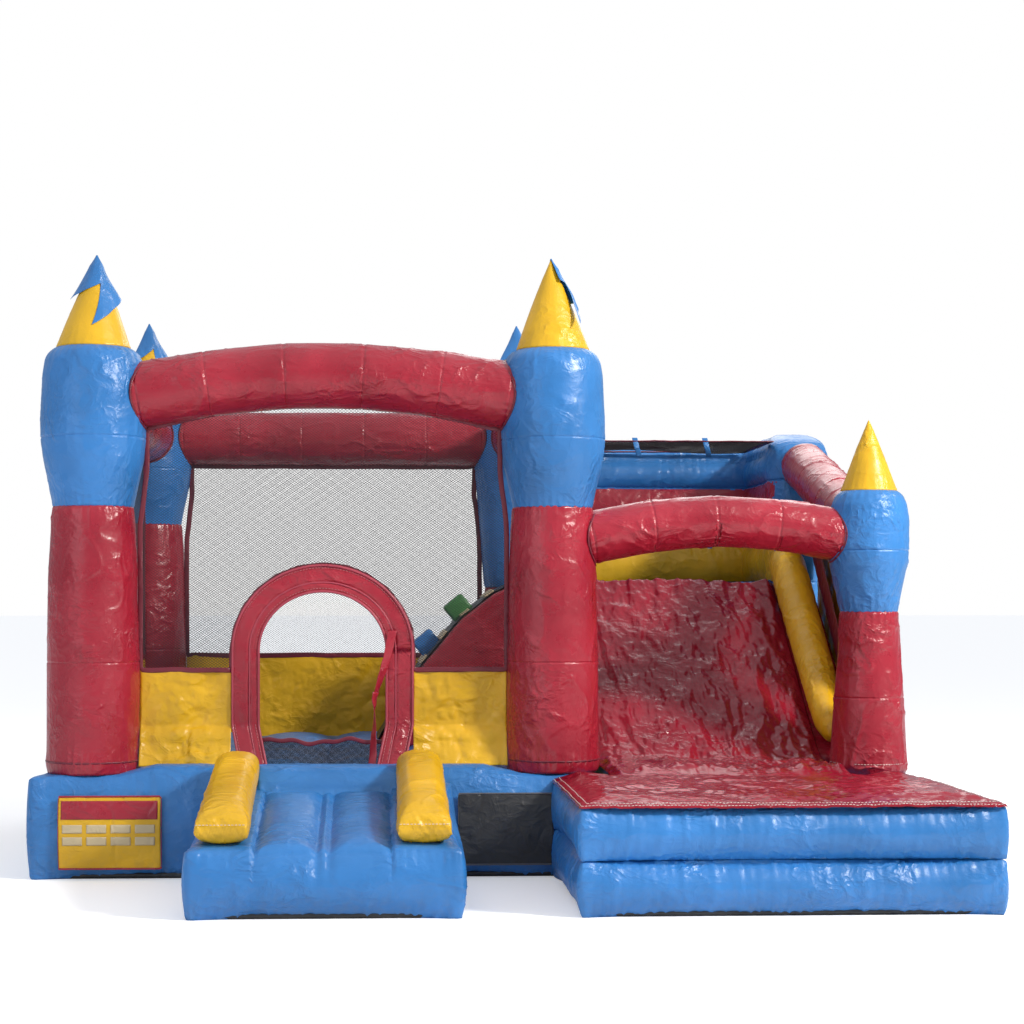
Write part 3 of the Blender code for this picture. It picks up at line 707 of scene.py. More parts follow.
def rounded_ring(low, high, corner, spacing):
    """Points round a rectangle with rounded corners, counter-clockwise, and the way out at each."""
    x0, y0, x1, y1 = low[0] + corner, low[1] + corner, high[0] - corner, high[1] - corner
    points, ways, near = [], [], []
    corners = [((x1, y1), 0), ((x0, y1), 90), ((x0, y0), 180), ((x1, y0), 270)]
    for k, ((cx, cy), start) in enumerate(corners):
        count = max(4, int(corner * 1.57 / spacing))
        for j in range(count):
            a = math.radians(start + 90 * (j + 0.5) / count)
            points.append((cx + corner * math.cos(a), cy + corner * math.sin(a)))
            ways.append((math.cos(a), math.sin(a)))
            near.append(0.0)
        nx, ny = corners[(k + 1) % 4][0]
        a = math.radians(start + 90)
        length = math.hypot(nx - cx, ny - cy)
        count = max(2, int(length / spacing))
        for j in range(count):
            t = (j + 0.5) / count
            points.append(
                (cx + (nx - cx) * t + corner * math.cos(a), cy + (ny - cy) * t + corner * math.sin(a))
            )
            ways.append((math.cos(a), math.sin(a)))
            near.append(min(t, 1 - t) * length)
    return np.array(points), np.array(ways), np.array(near)


def chamber(
    name, low, high, mat, seed, bulge=0.04, corner=0.05, spacing=0.014, seam_rows=(), top=None,
    ragged=0.012, fold=0.012, round_top=0.02,
):
    """A box of inflated vinyl: bulging sides, puckered edges, and a top that a function may shape."""
    low, high = np.array(low), np.array(high)
    ring, way, near = rounded_ring(low, high, corner, spacing)
    run = np.concatenate([[0], np.cumsum(np.linalg.norm(np.diff(ring, axis=0), axis=1))])
    tall = high[2] - low[2]
    centre = (low + high)[:2] / 2
    side = steps(0.0, 1.0, min(0.05, spacing / tall), seam_rows, 0.004 / tall)
    shape = np.abs(np.sin(math.pi * side)) ** 0.75
    if seam_rows:
        cuts = np.array([0.0, *seam_rows, 1.0])
        which = np.clip(np.searchsorted(cuts, side, "right") - 1, 0, len(cuts) - 2)
        part = (side - cuts[which]) / (cuts[which + 1] - cuts[which])
        shape = np.abs(np.sin(math.pi * part)) ** 0.75
    corner_ease = 0.25 + 0.75 * (1 - np.exp(-near / 0.16))
    hem = ragged * (0.5 + 0.5 * line_noise(run * 7, seed)) + 0.4 * ragged * (
        0.5 + 0.5 * line_noise(run * 23, seed + 1)
    )
    rows = []
    for s, b in zip(side, shape):
        out = bulge * corner_ease * (b - 0.85)
        z = low[2] + (tall - round_top) * s + hem * max(0.0, 1 - s * 3)
        level = np.column_stack([ring + way * out[:, None], np.full(len(ring), 0.0)])
        level[:, 2] = z
        rows.append(level)
    rows = np.array(rows)
    normal = np.column_stack([way, np.zeros(len(way))])
    push = inflated(rows, seed, 1.0)
    away_low, away_high = side[:, None] * tall, (1 - side[:, None]) * tall
    along = np.broadcast_to(run, push.shape)
    push = push + puckers(along, away_high + along * 0, seed + 4, 0.045, fold * 1.3, 0.07)
    push = push + puckers(along, away_low + along * 0, seed + 5, 0.05, fold * 1.3, 0.08)
    push = push + puckers(along, away_high + along * 0, seed + 14, 0.17, fold * 0.9, 0.16)
    push = push + puckers(along, away_low + along * 0, seed + 15, 0.15, fold * 0.9, 0.15)
    for k, cut in enumerate(seam_rows):
        away = (side[:, None] - cut) * tall + along * 0
        push = push + groove(away, 0.008, 0.006) + puckers(along, away, seed + 6 + k, 0.05, fold, 0.09)
    rows = rows + normal[None] * push[..., None]
    inner = []
    half = min(high[0] - low[0], high[1] - low[1]) / 2
    insets = np.array(
        [0.003, 0.007, 0.012, 0.018, 0.025, 0.035, *np.arange(0.045, half * 0.98, spacing * 0.9)]
    )
    for inset in insets:
        scale = 1 - inset / half
        inner.append(centre + (ring - (bulge * 0.85 * corner_ease)[:, None] * way - centre) * scale)
    inner = np.array(inner)
    lid = np.concatenate([inner, np.full(inner.shape[:2] + (1,), high[2])], -1)
    edge = np.min(
        [inner[..., 0] - low[0], high[0] - inner[..., 0], inner[..., 1] - low[1], high[1] - inner[..., 1]],
        axis=0,
    )
    arc = 1 - np.clip(insets / min(max(round_top, 0.05), half * 0.9), 0, 1)
    lid[..., 2] -= round_top * (1 - np.sqrt(np.maximum(0.0, 1 - arc**2)))[:, None]
    lid[..., 2] += inflated(lid, seed + 8) * np.clip(edge / 0.03, 0, 1)
    lid[..., 2] += puckers(
        np.broadcast_to(run, edge.shape), edge, seed + 9, 0.05, fold * 0.7, 0.06
    ) * np.clip(edge / 0.01, 0, 1)
    if top is not None:
        lid[..., 2] += top(lid[..., 0], lid[..., 1])
        rows[..., 2] += side[:, None] * top(rows[-1, :, 0], rows[-1, :, 1])[None]
    floor = np.concatenate([inner[::8], np.full(inner[::8].shape[:2] + (1,), low[2])], -1)
    grid = np.concatenate([floor[::-1], rows, lid])
    return grid_piece(name, grid, mat, wrap_columns=True, closed=True)


def floor_tubes(x, y):
    """The bouncy floor: long pillows between the seams of the webs below, and a roll at its front."""
    part = np.abs(np.sin(math.pi * (x + 0.85) / 0.50))
    across = np.clip(np.minimum(x + 1.95, 0.22 - x) / 0.2, 0, 1)
    along = np.clip(np.minimum(y + 0.80, 1.85 - y) / 0.2, 0, 1)
    pillow = (0.060 * part**0.5 - 0.012) * across * along
    roll = 0.050 * np.sin(math.pi * np.clip((y + 1.15) / 0.30, 0, 1)) * across
    return pillow + roll


def bases():
    low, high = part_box("base_chamber")
    piece = chamber("bounce_base", low, high, BLUE, 100, 0.075, 0.05, 0.018, top=floor_tubes, ragged=0.02)
    flattened(piece, "deflation_flap")
    put(piece, "blue_vinyl", "base_chamber")
    low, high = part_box("slide_base")
    piece = chamber("slide_side_base", low, high, BLUE, 110, 0.075, 0.05, 0.018, ragged=0.02)
    put(piece, "blue_vinyl", "slide_base")
    for node, seed in (("landing_lower", 120), ("landing_upper", 130)):
        low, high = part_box(node)
        ragged = 0.014 if node.endswith("lower") else 0.0
        sunk = (lambda x, y: sunk_fold(np.stack([x, y], -1)) - 0.012) if node == "landing_upper" else None
        piece = chamber(
            node + "_chamber", low, high, BLUE, seed, 0.075, 0.03, 0.013, top=sunk, ragged=ragged,
            fold=0.014, round_top=0.01,
        )
        put(piece, "blue_vinyl", node)
    sheets = {
        "bounce": ("base_chamber",), "slide": ("slide_base",), "landing": ("landing_lower",),
        "step": ("step_ramp",),
    }
    # Each base gets a black sheet beneath it: painted shade along its foot.
    for name, (node,) in sheets.items():
        low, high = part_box(node)
        shade_line_sheet(f"{name}_shade_line", low, high, 0.05)


def flattened(piece, node):
    """The base's back wall is held flat where a flap is sewn to it."""
    low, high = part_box(node)
    points = coordinates(piece.data)
    past_x = np.maximum(low.x - points[:, 0], points[:, 0] - high.x)
    past_z = np.maximum(low.z - points[:, 2], points[:, 2] - high.z)
    hold = np.clip(
        1.6 - np.maximum(past_x, 0) / 0.05, 0, 1
    ) * np.clip(1.6 - np.maximum(past_z, 0) / 0.05, 0, 1)
    hold = hold * hold * (3 - 2 * hold)
    points[:, 1] -= hold * np.maximum(0.0, points[:, 1] - (low.y - 0.004))
    piece.data.vertices.foreach_set("co", points.ravel())
    piece.data.update()


def shade_line_sheet(name, low, high, inset):
    """A black sheet under a base, put in as painted shade: it shows as a dark line below the ragged hem,
    where the base meets the floor.
    """
    ring, way, _ = rounded_ring(
        (low[0] + inset, low[1] + inset), (high[0] - inset, high[1] - inset), 0.04, 0.05
    )
    rows = []
    for z, out in ((0.0, 0.0), (0.022, 0.006), (0.034, -0.012)):
        rows.append(np.column_stack([ring + way * out, np.full(len(ring), z)]))
    piece = grid_piece(name, np.array(rows), BLACK, wrap_columns=True, closed=True)
    put(piece, "blue_vinyl")


# ---------------------------------------------------------------- step


def step():
    low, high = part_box("step_ramp")
    slope = 0.2 / (high.y - low.y)
    left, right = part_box("step_bolster_left")[1].x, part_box("step_bolster_right")[0].x
    middle = (left + right) / 2
    back_tube = high.y - 0.19

    def top(x, y):
        lift = (y - high.y) * slope
        pad_x = np.minimum(np.abs(x - left), np.abs(x - right))
        pad_x = np.minimum(pad_x, np.minimum(np.abs(x - middle + 0.03), np.abs(x - middle - 0.03)))
        between = (x > left - 0.04) & (x < right + 0.04)
        inside = (x > left) & (x < right) & (y < back_tube) & (y > low.y + 0.03)
        pad_y = np.minimum(np.abs(y - back_tube), np.abs(y - low.y - 0.03))
        pillow = np.where(inside, 0.055 * (1 - np.exp(-np.minimum(pad_x, pad_y) / 0.06)) - 0.035, 0.0)
        arc = np.clip((y - back_tube) / (high.y - back_tube), 0, 1)
        tube = np.where(y > back_tube, 0.13 * np.sqrt(np.maximum(0.0, arc * (2 - arc))) - 0.02, 0.0)
        return lift + pillow + np.where(between, tube, 0.0)

    piece = chamber(
        "step_block", low, high, BLUE, 140, 0.075, 0.05, 0.012, top=top, ragged=0.016, fold=0.012,
        round_top=0.02,
    )
    put(piece, "blue_vinyl", "step_ramp")
    for side in ("left", "right"):
        bolster(side)


def bolster(side):
    node = f"step_bolster_{side}"
    low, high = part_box(node)
    x = (low.x + high.x) / 2
    start = np.array([x, low.y - 0.085, low.z + 0.030])
    end = np.array([x, high.y + 0.01, high.z - 0.10])
    seed = 160 if side == "left" else 170
    piece = pillow_roll(f"step_bolster_{side}_roll", start, end, 0.140, 0.100, seed)
    put(piece, "yellow_vinyl", node)
    way = (end - start) / np.linalg.norm(end - start)
    up = np.cross((1, 0, 0), way)
    hem = [start + way * 0.012 + np.array([t * 0.120, 0, 0]) + up * 0.010 for t in np.linspace(-1, 1, 30)]
    put(
        stitches(f"step_bolster_{side}_stitches", np.array(hem) + up * 0.02, way, THREAD_WHITE),
        "white_vinyl",
    )


def pillow_roll(name, start, end, half_width, half_height, seed):
    """A stuffed roll: its lower end is blunt, its upper end is drawn in, and air swells it."""
    length = np.linalg.norm(end - start)
    t = np.unique(np.concatenate([np.linspace(0, 1, 90), np.linspace(0, 0.05, 14), np.linspace(0.93, 1, 14)]))
    line = start + (end - start) * t[:, None]
    _, side, up = path_frames(line)
    near, far = t * length, (1 - t) * length
    tall = half_height * (
        0.22 + 0.78 * (1 - np.exp(-near / 0.09))
    ) * np.clip(1 - np.exp(-far / 0.07), 0.05, 1)
    wide = half_width * (0.93 + 0.07 * (1 - np.exp(-near / 0.2))) * (0.74 + 0.26 * (1 - np.exp(-far / 0.22)))
    angle = np.linspace(0, TAU, 90, endpoint=False)
    c, s = np.cos(angle), np.sin(angle)
    power = (2.7 + 9.0 * np.exp(-near / 0.05))[:, None]
    square = (np.abs(c)[None] ** power + np.abs(s)[None] ** power) ** (-1 / power)
    grid = line[:, None] + side[:, None] * (c * square)[..., None] * wide[:, None, None]
    grid = grid + up[:, None] * (s * square)[..., None] * tall[:, None, None]
    piece = grid_piece(name, grid, YELLOW, wrap_columns=True, closed=True)
    puffed(piece)

    def skin(points, normal):
        along = (points - start) @ ((end - start) / length)
        reach = np.minimum(np.abs(along), np.abs(length - along))
        round_it = (points @ side[0]) + (points @ up[0]) * 0.7
        return inflated(points, seed, 0.9) + puckers(round_it, reach, seed, 0.033, 0.013, 0.06) - 0.003

    reshape(piece, skin)
    return piece


def coordinates(mesh, what="co"):
    values = np.zeros(len(mesh.vertices) * 3)
    mesh.vertices.foreach_get(what, values)
    return values.reshape(-1, 3)


def reshape(obj, push):
    """Moves a mesh's points along their normals by push(points, normals)."""
    mesh = obj.data
    points, normal = coordinates(mesh), coordinates(mesh, "normal")
    points = points + normal * push(points, normal)[:, None]
    mesh.vertices.foreach_set("co", points.ravel())
    mesh.update()


def puffed(obj, voxel=0.010, pressure=4.0, frames=14, limit=0.014):
    """Swells a closed shell by a cloth simulation with air pressure in it."""
    scene = bpy.context.scene
    mat = obj.data.materials[0]
    remesh = obj.modifiers.new("remesh", "REMESH")
    remesh.mode = "VOXEL"
    remesh.voxel_size = voxel
    obj.data = bpy.data.meshes.new_from_object(obj.evaluated_get(bpy.context.evaluated_depsgraph_get()))
    obj.modifiers.clear()
    before = coordinates(obj.data)
    cloth = obj.modifiers.new("air", "CLOTH")
    cloth.settings.quality = 4
    cloth.settings.mass = 0.2
    cloth.settings.use_pressure = True
    cloth.settings.uniform_pressure_force = pressure
    cloth.settings.effector_weights.gravity = 0.0
    cloth.point_cache.frame_start, cloth.point_cache.frame_end = 1, frames
    for number in range(1, frames + 1):
        scene.frame_set(number)
    swollen = bpy.data.meshes.new_from_object(obj.evaluated_get(bpy.context.evaluated_depsgraph_get()))
    move = coordinates(swollen) - before
    far = np.linalg.norm(move, axis=1, keepdims=True)
    after = before + move * np.minimum(1.0, limit / np.maximum(far, 1e-9))
    obj.modifiers.clear()
    scene.frame_set(1)
    bpy.data.meshes.remove(swollen)
    obj.data.vertices.foreach_set("co", after.ravel())
    obj.data.materials.clear()
    obj.data.materials.append(mat)
    obj.data.shade_smooth()
    obj.data.update()


# ---------------------------------------------------------------- tower, slide


def softened(name, node, mat, voxel, rounds, seed):
    """A CAD chamber with its edges rounded as air pressure rounds them, and an uneven skin."""
    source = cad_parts[node]
    mesh = source.data.copy()
    obj = bpy.data.objects.new(name, mesh)
    bpy.context.scene.collection.objects.link(obj)
    remesh = obj.modifiers.new("remesh", "REMESH")
    remesh.mode = "VOXEL"
    remesh.voxel_size = voxel
    relax = obj.modifiers.new("relax", "SMOOTH")
    relax.factor = 0.5
    relax.iterations = rounds
    made = bpy.data.meshes.new_from_object(obj.evaluated_get(bpy.context.evaluated_depsgraph_get()))
    bpy.data.objects.remove(obj)
    made.materials.clear()
    made.materials.append(mat)
    made.shade_smooth()
    made.name = name
    piece = bpy.data.objects.new(name, made)
    bpy.context.scene.collection.objects.link(piece)
    reshape(piece, lambda points, _: inflated(points, seed, 1.0))
    return put(piece, "blue_vinyl" if mat is BLUE else "red_vinyl", node)


def tower():
    low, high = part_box("tower_platform")
    deck = high.z
    bands = [(deck - 0.03, deck + 0.27, 2), (deck + 0.27, deck + 0.66, 1)]
    for node, seed, inner in (("tower_wall_back", 200, 1), ("tower_wall_right", 210, 0)):
        low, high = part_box(node)
        high.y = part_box("tower_wall_back")[1].y
        tall = high.z - low.z
        rows = [(deck + lift - low.z) / (tall - WALL_TOP) for lift in (0.0, 0.27, 0.66)]
        piece = chamber(
            node + "_chamber", low, high, [BLUE, RED, YELLOW], seed, 0.05, 0.17, 0.016, rows, ragged=0.0,
            round_top=WALL_TOP,
        )
        paint_bands(piece, inner, (low[inner] + high[inner]) / 2, bands)
        put(piece, "blue_vinyl", node)
    softened("platform_deck", "tower_platform", BLUE, 0.02, 6, 220)
    softened("slide_incline", "slide_slope", RED, 0.022, 4, 230)


def paint_bands(piece, axis, middle, bands):
    """Colours a wall's inner face in level bands."""
    for face in piece.data.polygons:
        centre = face.center
        if centre[axis] < middle and face.normal[axis] < -0.8:
            for low, high, slot in bands:
                if low < centre.z < high:
                    face.material_index = slot


def slope_height(y):
    """The slide surface's height at y, from the CAD box of its incline."""
    low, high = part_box("slide_slope")
    part = np.clip((y - low.y) / (high.y - low.y), 0, 1)
    return low.z + 0.06 + part * (high.z - low.z - 0.06)


def slide_cover():
    low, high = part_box("slide_cover")
    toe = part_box("slide_slope")[0].y
    spots = [
        (low.y - 0.26, low.z + 0.004), (toe - 0.16, low.z), (toe + 0.10, slope_height(toe + 0.10)),
        (high.y + 0.005, high.z - 0.004),
    ]
    path = np.array(spots, float)
    run = np.concatenate([[0], np.cumsum(np.hypot(*np.diff(path, axis=0).T))])
    v = np.arange(0, run[-1], COVER_CELL)
    y, z = np.interp(v, run, path[:, 0]), np.interp(v, run, path[:, 1])
    kernel = np.hanning(33)
    z = np.convolve(np.pad(z, 16, mode="edge"), kernel / kernel.sum(), mode="valid")
    x = np.arange(low.x - 0.015, high.x + 0.02, COVER_CELL)
    grid = np.zeros((len(v), len(x), 3))
    grid[..., 0], grid[..., 1], grid[..., 2] = x[None], y[:, None], z[:, None]
    flat = np.stack([grid[..., 0] * 1.25, v[:, None] * 0.85 + x[None] * 0.25, grid[..., 0] * 0], -1)
    deep = crumple(flat * np.array([1.0, 0.6, 1.0]), 0.24, 300, 2)
    mid = crumple(flat * np.array([1.0, 0.5, 1.0]), 0.095, 310, 2)
    fine = crumple(flat * np.array([1.0, 0.8, 1.0]), 0.045, 320, 2)
    edge = np.clip(np.minimum(x - x[0], x[-1] - x)[None] / 0.05, 0, 1) + v[:, None] * 0
    on_flat = np.clip((run[1] + 0.1 - v[:, None]) / 0.3, 0, 1)
    lift = 0.034 + 0.017 * deep + 0.011 * mid + 0.0045 * fine + on_flat * (
        0.012 + 0.02 * crumple(flat, 0.5, 340, 2)
    )
    lift = 0.012 + (lift - 0.012) * np.clip((v[:, None] - 0.02) / 0.16, 0.1, 1)
    lift = lift * (0.35 + 0.65 * edge) + 0.006
    lift = lift * np.clip((v[-1] - v)[:, None] / 0.03, 0.35, 1)
    normal = grid_normals(grid)
    normal = normal * np.sign(normal[..., 2:3] + 1e-9)
    piece = grid_piece("slide_loose_cover", grid + normal * lift[..., None], GLOSS_RED)
    thicken(piece, 0.0015, 1.0)
    put(piece, "red_vinyl", "slide_cover")
    return piece


def landing_cover():
    low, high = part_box("landing_cover")
    x = np.arange(low.x - 0.055, high.x + 0.055, LANDING_CELL)
    y = np.arange(low.y - 0.058, high.y + 0.05, LANDING_CELL)
    grid = np.zeros((len(y), len(x), 3))
    grid[..., 0], grid[..., 1], grid[..., 2] = x[None], y[:, None], low.z
    edge_x = np.minimum(x - x[0], x[-1] - x)[None]
    edge_y = (y - y[0])[:, None]
    edge = np.minimum(edge_x, edge_y)
    flat = np.stack([grid[..., 0], grid[..., 1], grid[..., 0] * 0], -1)
    rise = 0.014 * crumple(flat, 0.34, 350, 2) + 0.007 * crumple(
        flat * np.array([0.6, 1.0, 1.0]), 0.12, 360, 3
    )
    border = np.clip((edge - 0.05) / 0.10, 0, 1)
    pillow = 0.03 * (1 - np.exp(-edge / 0.12))
    dip = sunk_fold(flat)
    grid[..., 2] += 0.010 + rise * (0.15 + 0.85 * border) + 0.016 * border + pillow * 0.6 - 0.012 + dip
    grid[..., 2] -= 0.014 * np.exp(-edge / 0.010)
    grid[..., 2] += 0.003 * noise(flat * 40, 370)
    piece = grid_piece("landing_loose_cover", grid, GLOSS_RED)
    thicken(piece, 0.0015, 1.0)
    put(piece, "red_vinyl", "landing_cover")
    heights = grid[..., 2]
    for number, inset in enumerate((0.018, 0.040)):
        ix, iy = int(inset / LANDING_CELL), int(inset / LANDING_CELL)
        front = np.column_stack([x[ix:-ix], np.full(len(x[ix:-ix]), y[iy]), heights[iy, ix:-ix] + 0.002])
        left = np.column_stack([np.full(len(y[iy:]), x[ix]), y[iy:], heights[iy:, ix] + 0.002])
        right = np.column_stack([np.full(len(y[iy:]), x[-ix - 1]), y[iy:], heights[iy:, -ix - 1] + 0.002])
        for side, line, across in (
            ("front", front, (0, 1, 0)), ("left", left, (1, 0, 0)), ("right", right, (1, 0, 0))
        ):
            row = stitches(f"landing_stitches_{side}_{number}", line, across, THREAD_WHITE, size=0.0018)
            put(row, "white_vinyl")


def sunk_fold(flat):
    """Two sunk folds where the cover dips beside the columns."""
    total = 0.0
    for cx, cy, size, depth in ((0.86, -1.26, 0.20, 0.055), (1.98, -1.26, 0.24, 0.05)):
        far = ((flat[..., 0] - cx) / (size * 1.5)) ** 2 + ((flat[..., 1] - cy) / (size * 0.6)) ** 2
        total = total - depth * np.exp(-far)
    return total


def slide_bolster():
    low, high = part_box("slide_bolster")
    x = (low.x + high.x) / 2
    start = np.array([x + 0.005, low.y + 0.02, low.z + 0.07])
    end = np.array([x - 0.01, high.y - 0.02, high.z + 0.02])
    bend = np.array([x, low.y + 0.13, low.z + 0.10])
    t = np.linspace(0, 1, 120)
    curve = ((1 - t) ** 2)[:, None] * start + (2 * t * (1 - t))[:, None] * bend + (t**2)[:, None] * end
    girth = [(0, 0.045), (0.02, 0.075), (0.08, 0.100), (0.5, 0.108), (0.96, 0.116), (1, 0.105)]
    piece = tube_piece("slide_bolster_roll", curve, girth, YELLOW, (0.32, 0.64), 400)
    put(piece, "yellow_vinyl", "slide_bolster")


def slide_panel():
    low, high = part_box("slide_side_panel")
    y = np.arange(low.y, high.y, 0.012)
    rows = 110
    bottom = np.full(len(y), low.z + 0.02)
    top = np.interp(y, (low.y, high.y), (1.72, high.z)) - 0.01
    part = np.linspace(0, 1, rows)
    grid = np.zeros((rows, len(y), 3))
    grid[..., 1] = y[None]
    grid[..., 2] = bottom[None] + (top - bottom)[None] * part[:, None]
    grid[..., 0] = low.x
    grid[..., 0] += 0.012 * crumple(grid * np.array([1, 1.4, 0.6]), 0.2, 410, 3) + 0.01
    piece = thicken(grid_piece("slide_side_sheet", grid, YELLOW))
    put(piece, "yellow_vinyl", "slide_side_panel")
    line = np.column_stack([np.full(len(y), low.x), y, top])
    put(ribbon("slide_side_binding", line, (0, 0, 1), 0.04, 0.012, SHADED_RED, 411, 0.002), "red_vinyl")
    # The side strip is drawn in the darkened red: its dark colour is painted shade.
    strip = np.column_stack(
        [np.full(60, low.x - 0.055), np.linspace(-0.50, 0.84, 60), np.linspace(0.74, 1.98, 60)]
    )
    put(ribbon("slide_side_strip", strip, (0, -0.66, 0.75), 0.17, 0.008, SHADED_RED, 412, 0.003), "red_vinyl")
    return piece


# ---------------------------------------------------------------- climbing ramp


def climb():
    softened("climb_ramp_body", "climb_ramp", RED, 0.018, 3, 240)
    low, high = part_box("climb_ramp")
    spots = np.array([(low.x - 0.004, low.z), (-0.27, 1.06), (-0.02, 1.36), (0.2, 1.53), (high.x, high.z)])
    spots = spots + np.array([-0.006, 0.009])
    run = np.concatenate([[0], np.cumsum(np.hypot(*np.diff(spots, axis=0).T))])
    at = np.linspace(0.02, run[-1] - 0.01, 90)
    x, z = np.interp(at, run, spots[:, 0]), np.interp(at, run, spots[:, 1])
    middle = (low.y + high.y) / 2
    path = np.column_stack([x, np.full(len(x), middle), z])
    strip = ribbon("climb_mat", path, (0, 1, 0), high.y - low.y - 0.12, 0.012, BLACK, 420, 0.004)
    put(strip, "blue_vinyl")
    for number, share in enumerate((0.30, 0.44, 0.58, 0.72, 0.86)):
        centre = share * run[-1]
        part = np.linspace(centre - 0.035, centre + 0.035, 8)
        rung_x = np.interp(part, run, spots[:, 0]) - 0.005
        rung_z = np.interp(part, run, spots[:, 1]) + 0.005
        line = np.column_stack([rung_x, np.full(8, middle), rung_z])
        put(
            ribbon(f"climb_rung_{number}", line, (0, 1, 0), 0.62, 0.02, CREAM, 421 + number, 0.002),
            "white_vinyl",
        )
    grip("climb_hold_green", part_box("climb_hold"), GREEN, "green_vinyl", "climb_hold")
    low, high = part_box("climb_hold")
    shift = Vector((-0.20, 0.10, -0.23))
    grip("climb_hold_blue", (low + shift, high + shift), BLUE, "blue_vinyl")


def grip(name, box, mat, slot, *nodes):
    low, high = box
    bm = bmesh.new()
    bmesh.ops.create_cube(bm, size=1.0)
    bmesh.ops.scale(bm, vec=high - low, verts=bm.verts)
    bmesh.ops.bevel(bm, geom=bm.edges, offset=0.018, segments=3, profile=0.5, affect="EDGES")
    bmesh.ops.rotate(bm, verts=bm.verts, matrix=tilt(-0.7))
    bmesh.ops.translate(bm, vec=(low + high) / 2, verts=bm.verts)
    mesh = bpy.data.meshes.new(name)
    bm.to_mesh(mesh)
    bm.free()
    mesh.shade_smooth()
    mesh.materials.append(mat)
    obj = bpy.data.objects.new(name, mesh)
    bpy.context.scene.collection.objects.link(obj)
    put(obj, slot, *nodes)


def tilt(angle):
    from mathutils import Matrix

    return Matrix.Rotation(angle, 3, "Y")


# ---------------------------------------------------------------- nets, panels


def cut_edges(node, axis):
    """The outline of a flat CAD node: the edges of its face that looks along the axis."""
    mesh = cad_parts[node].data
    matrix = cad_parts[node].matrix_world
    keep = [k for k in range(3) if k != axis]
    found = {}
    for face in mesh.polygons:
        if (matrix.to_3x3() @ face.normal)[axis] < 0.9:
            continue
        corners = [tuple(round((matrix @ mesh.vertices[v].co)[k], 4) for k in keep) for v in face.vertices]
        for a, b in zip(corners, corners[1:] + corners[:1]):
            if (b, a) in found:
                del found[(b, a)]
            else:
                found[(a, b)] = True
    return list(found)


def loop_of(edges):
    """The edges' points in order round the outline."""
    after = dict(edges)
    start = edges[0][0]
    loop = [start]
    point = after[start]
    while point != start:
        loop.append(point)
        point = after[point]
    return loop


def inside(u, v, edges):
    """Which points lie inside the edges."""
    hit = np.zeros(np.shape(u), bool)
    for (u1, v1), (u2, v2) in edges:
        if v1 != v2:
            hit ^= ((v1 > v) != (v2 > v)) & (u < (u2 - u1) * (v - v1) / (v2 - v1) + u1)
    return hit


def strands(edges, wide, tall, spacing=0.09):
    """The straight strands of a diamond net, clipped to an outline."""
    corners = np.array([p for edge in edges for p in edge])
    (u0, v0), (u1, v1) = corners.min(0), corners.max(0)
    slope = tall / wide
    rise = np.arange(0, v1 - v0, 0.004)
    lines = []
    for sign in (1, -1):
        shift = (v1 - v0) / slope
        starts = np.arange(u0 - shift, u1, wide) if sign > 0 else np.arange(u0, u1 + shift, wide)
        for start in starts:
            ok = inside(start + sign * rise / slope, v0 + rise, edges)
            turns = np.flatnonzero(np.diff(np.concatenate([[0], ok.astype(int), [0]])))
            for a, b in zip(turns[::2], turns[1::2]):
                if b - a > 2:
                    count = max(2, int((rise[b - 1] - rise[a]) / spacing) + 1)
                    up = np.linspace(rise[a], rise[b - 1], count)
                    lines.append(np.column_stack([start + sign * up / slope, v0 + up]))
    return lines


def net(
    name, edges, place, mat_slot, nodes=(), body="root", wide=NET_WIDE, tall=NET_TALL,
    spacing=0.09, thread=THREAD,
):
    """Diamond netting inside an outline. place turns outline points into points in space."""
    points, faces, start = [], [], 0
    angle = TAU * np.arange(3) / 3
    for line in strands(edges, wide, tall, spacing):
        path = place(line)
        _, side, up = path_frames(path)
        ring = side[:, None] * np.cos(angle)[None, :, None] + up[:, None] * np.sin(angle)[None, :, None]
        points.append((path[:, None] + ring * thread * 0.577).reshape(-1, 3))
        count = len(path)
        faces += (np.array(grid_faces(count, 3, wrap_columns=True)) + start).tolist()
        last = start + 3 * (count - 1)
        faces += [[start + 2, start + 1, start], [last, last + 1, last + 2]]
        start += 3 * count
    obj = mesh_piece(name, np.concatenate(points), faces, NET, smooth=False)
    put(obj, mat_slot, *nodes, body=body)
    return obj


def flat_place(axis, level, sag=0.0, seed=0):
    """Puts outline points on a plane square to an axis, with a slight sag between its edges."""

    def place(line):
        out = np.insert(np.asarray(line, float), axis, level, axis=1)
        out[:, axis] += sag * noise(out * 1.7, seed)
        return out

    return place


def above(edges, level):
    """The part of an outline over a level, for a net that starts at a panel's top."""
    kept = []
    cuts = []
    for a, b in edges:
        if a[1] >= level and b[1] >= level:
            kept.append((a, b))
        elif a[1] >= level or b[1] >= level:
            part = (level - a[1]) / (b[1] - a[1])
            cut = (a[0] + part * (b[0] - a[0]), level)
            cuts.append((cut, a[1] < level))
            kept.append((cut, b) if a[1] < level else (a, cut))
    up = [point for point, rising in cuts if rising]
    down = [point for point, rising in cuts if not rising]
    return kept + list(zip(down, up))


def round_path(loop, spacing=0.03):
    """Points at equal steps along an open or closed chain of outline points."""
    chain = np.array(loop, float)
    run = np.concatenate([[0], np.cumsum(np.hypot(*np.diff(chain, axis=0).T))])
    at = np.linspace(0, run[-1], max(3, int(run[-1] / spacing)))
    return np.column_stack([np.interp(at, run, chain[:, 0]), np.interp(at, run, chain[:, 1])])


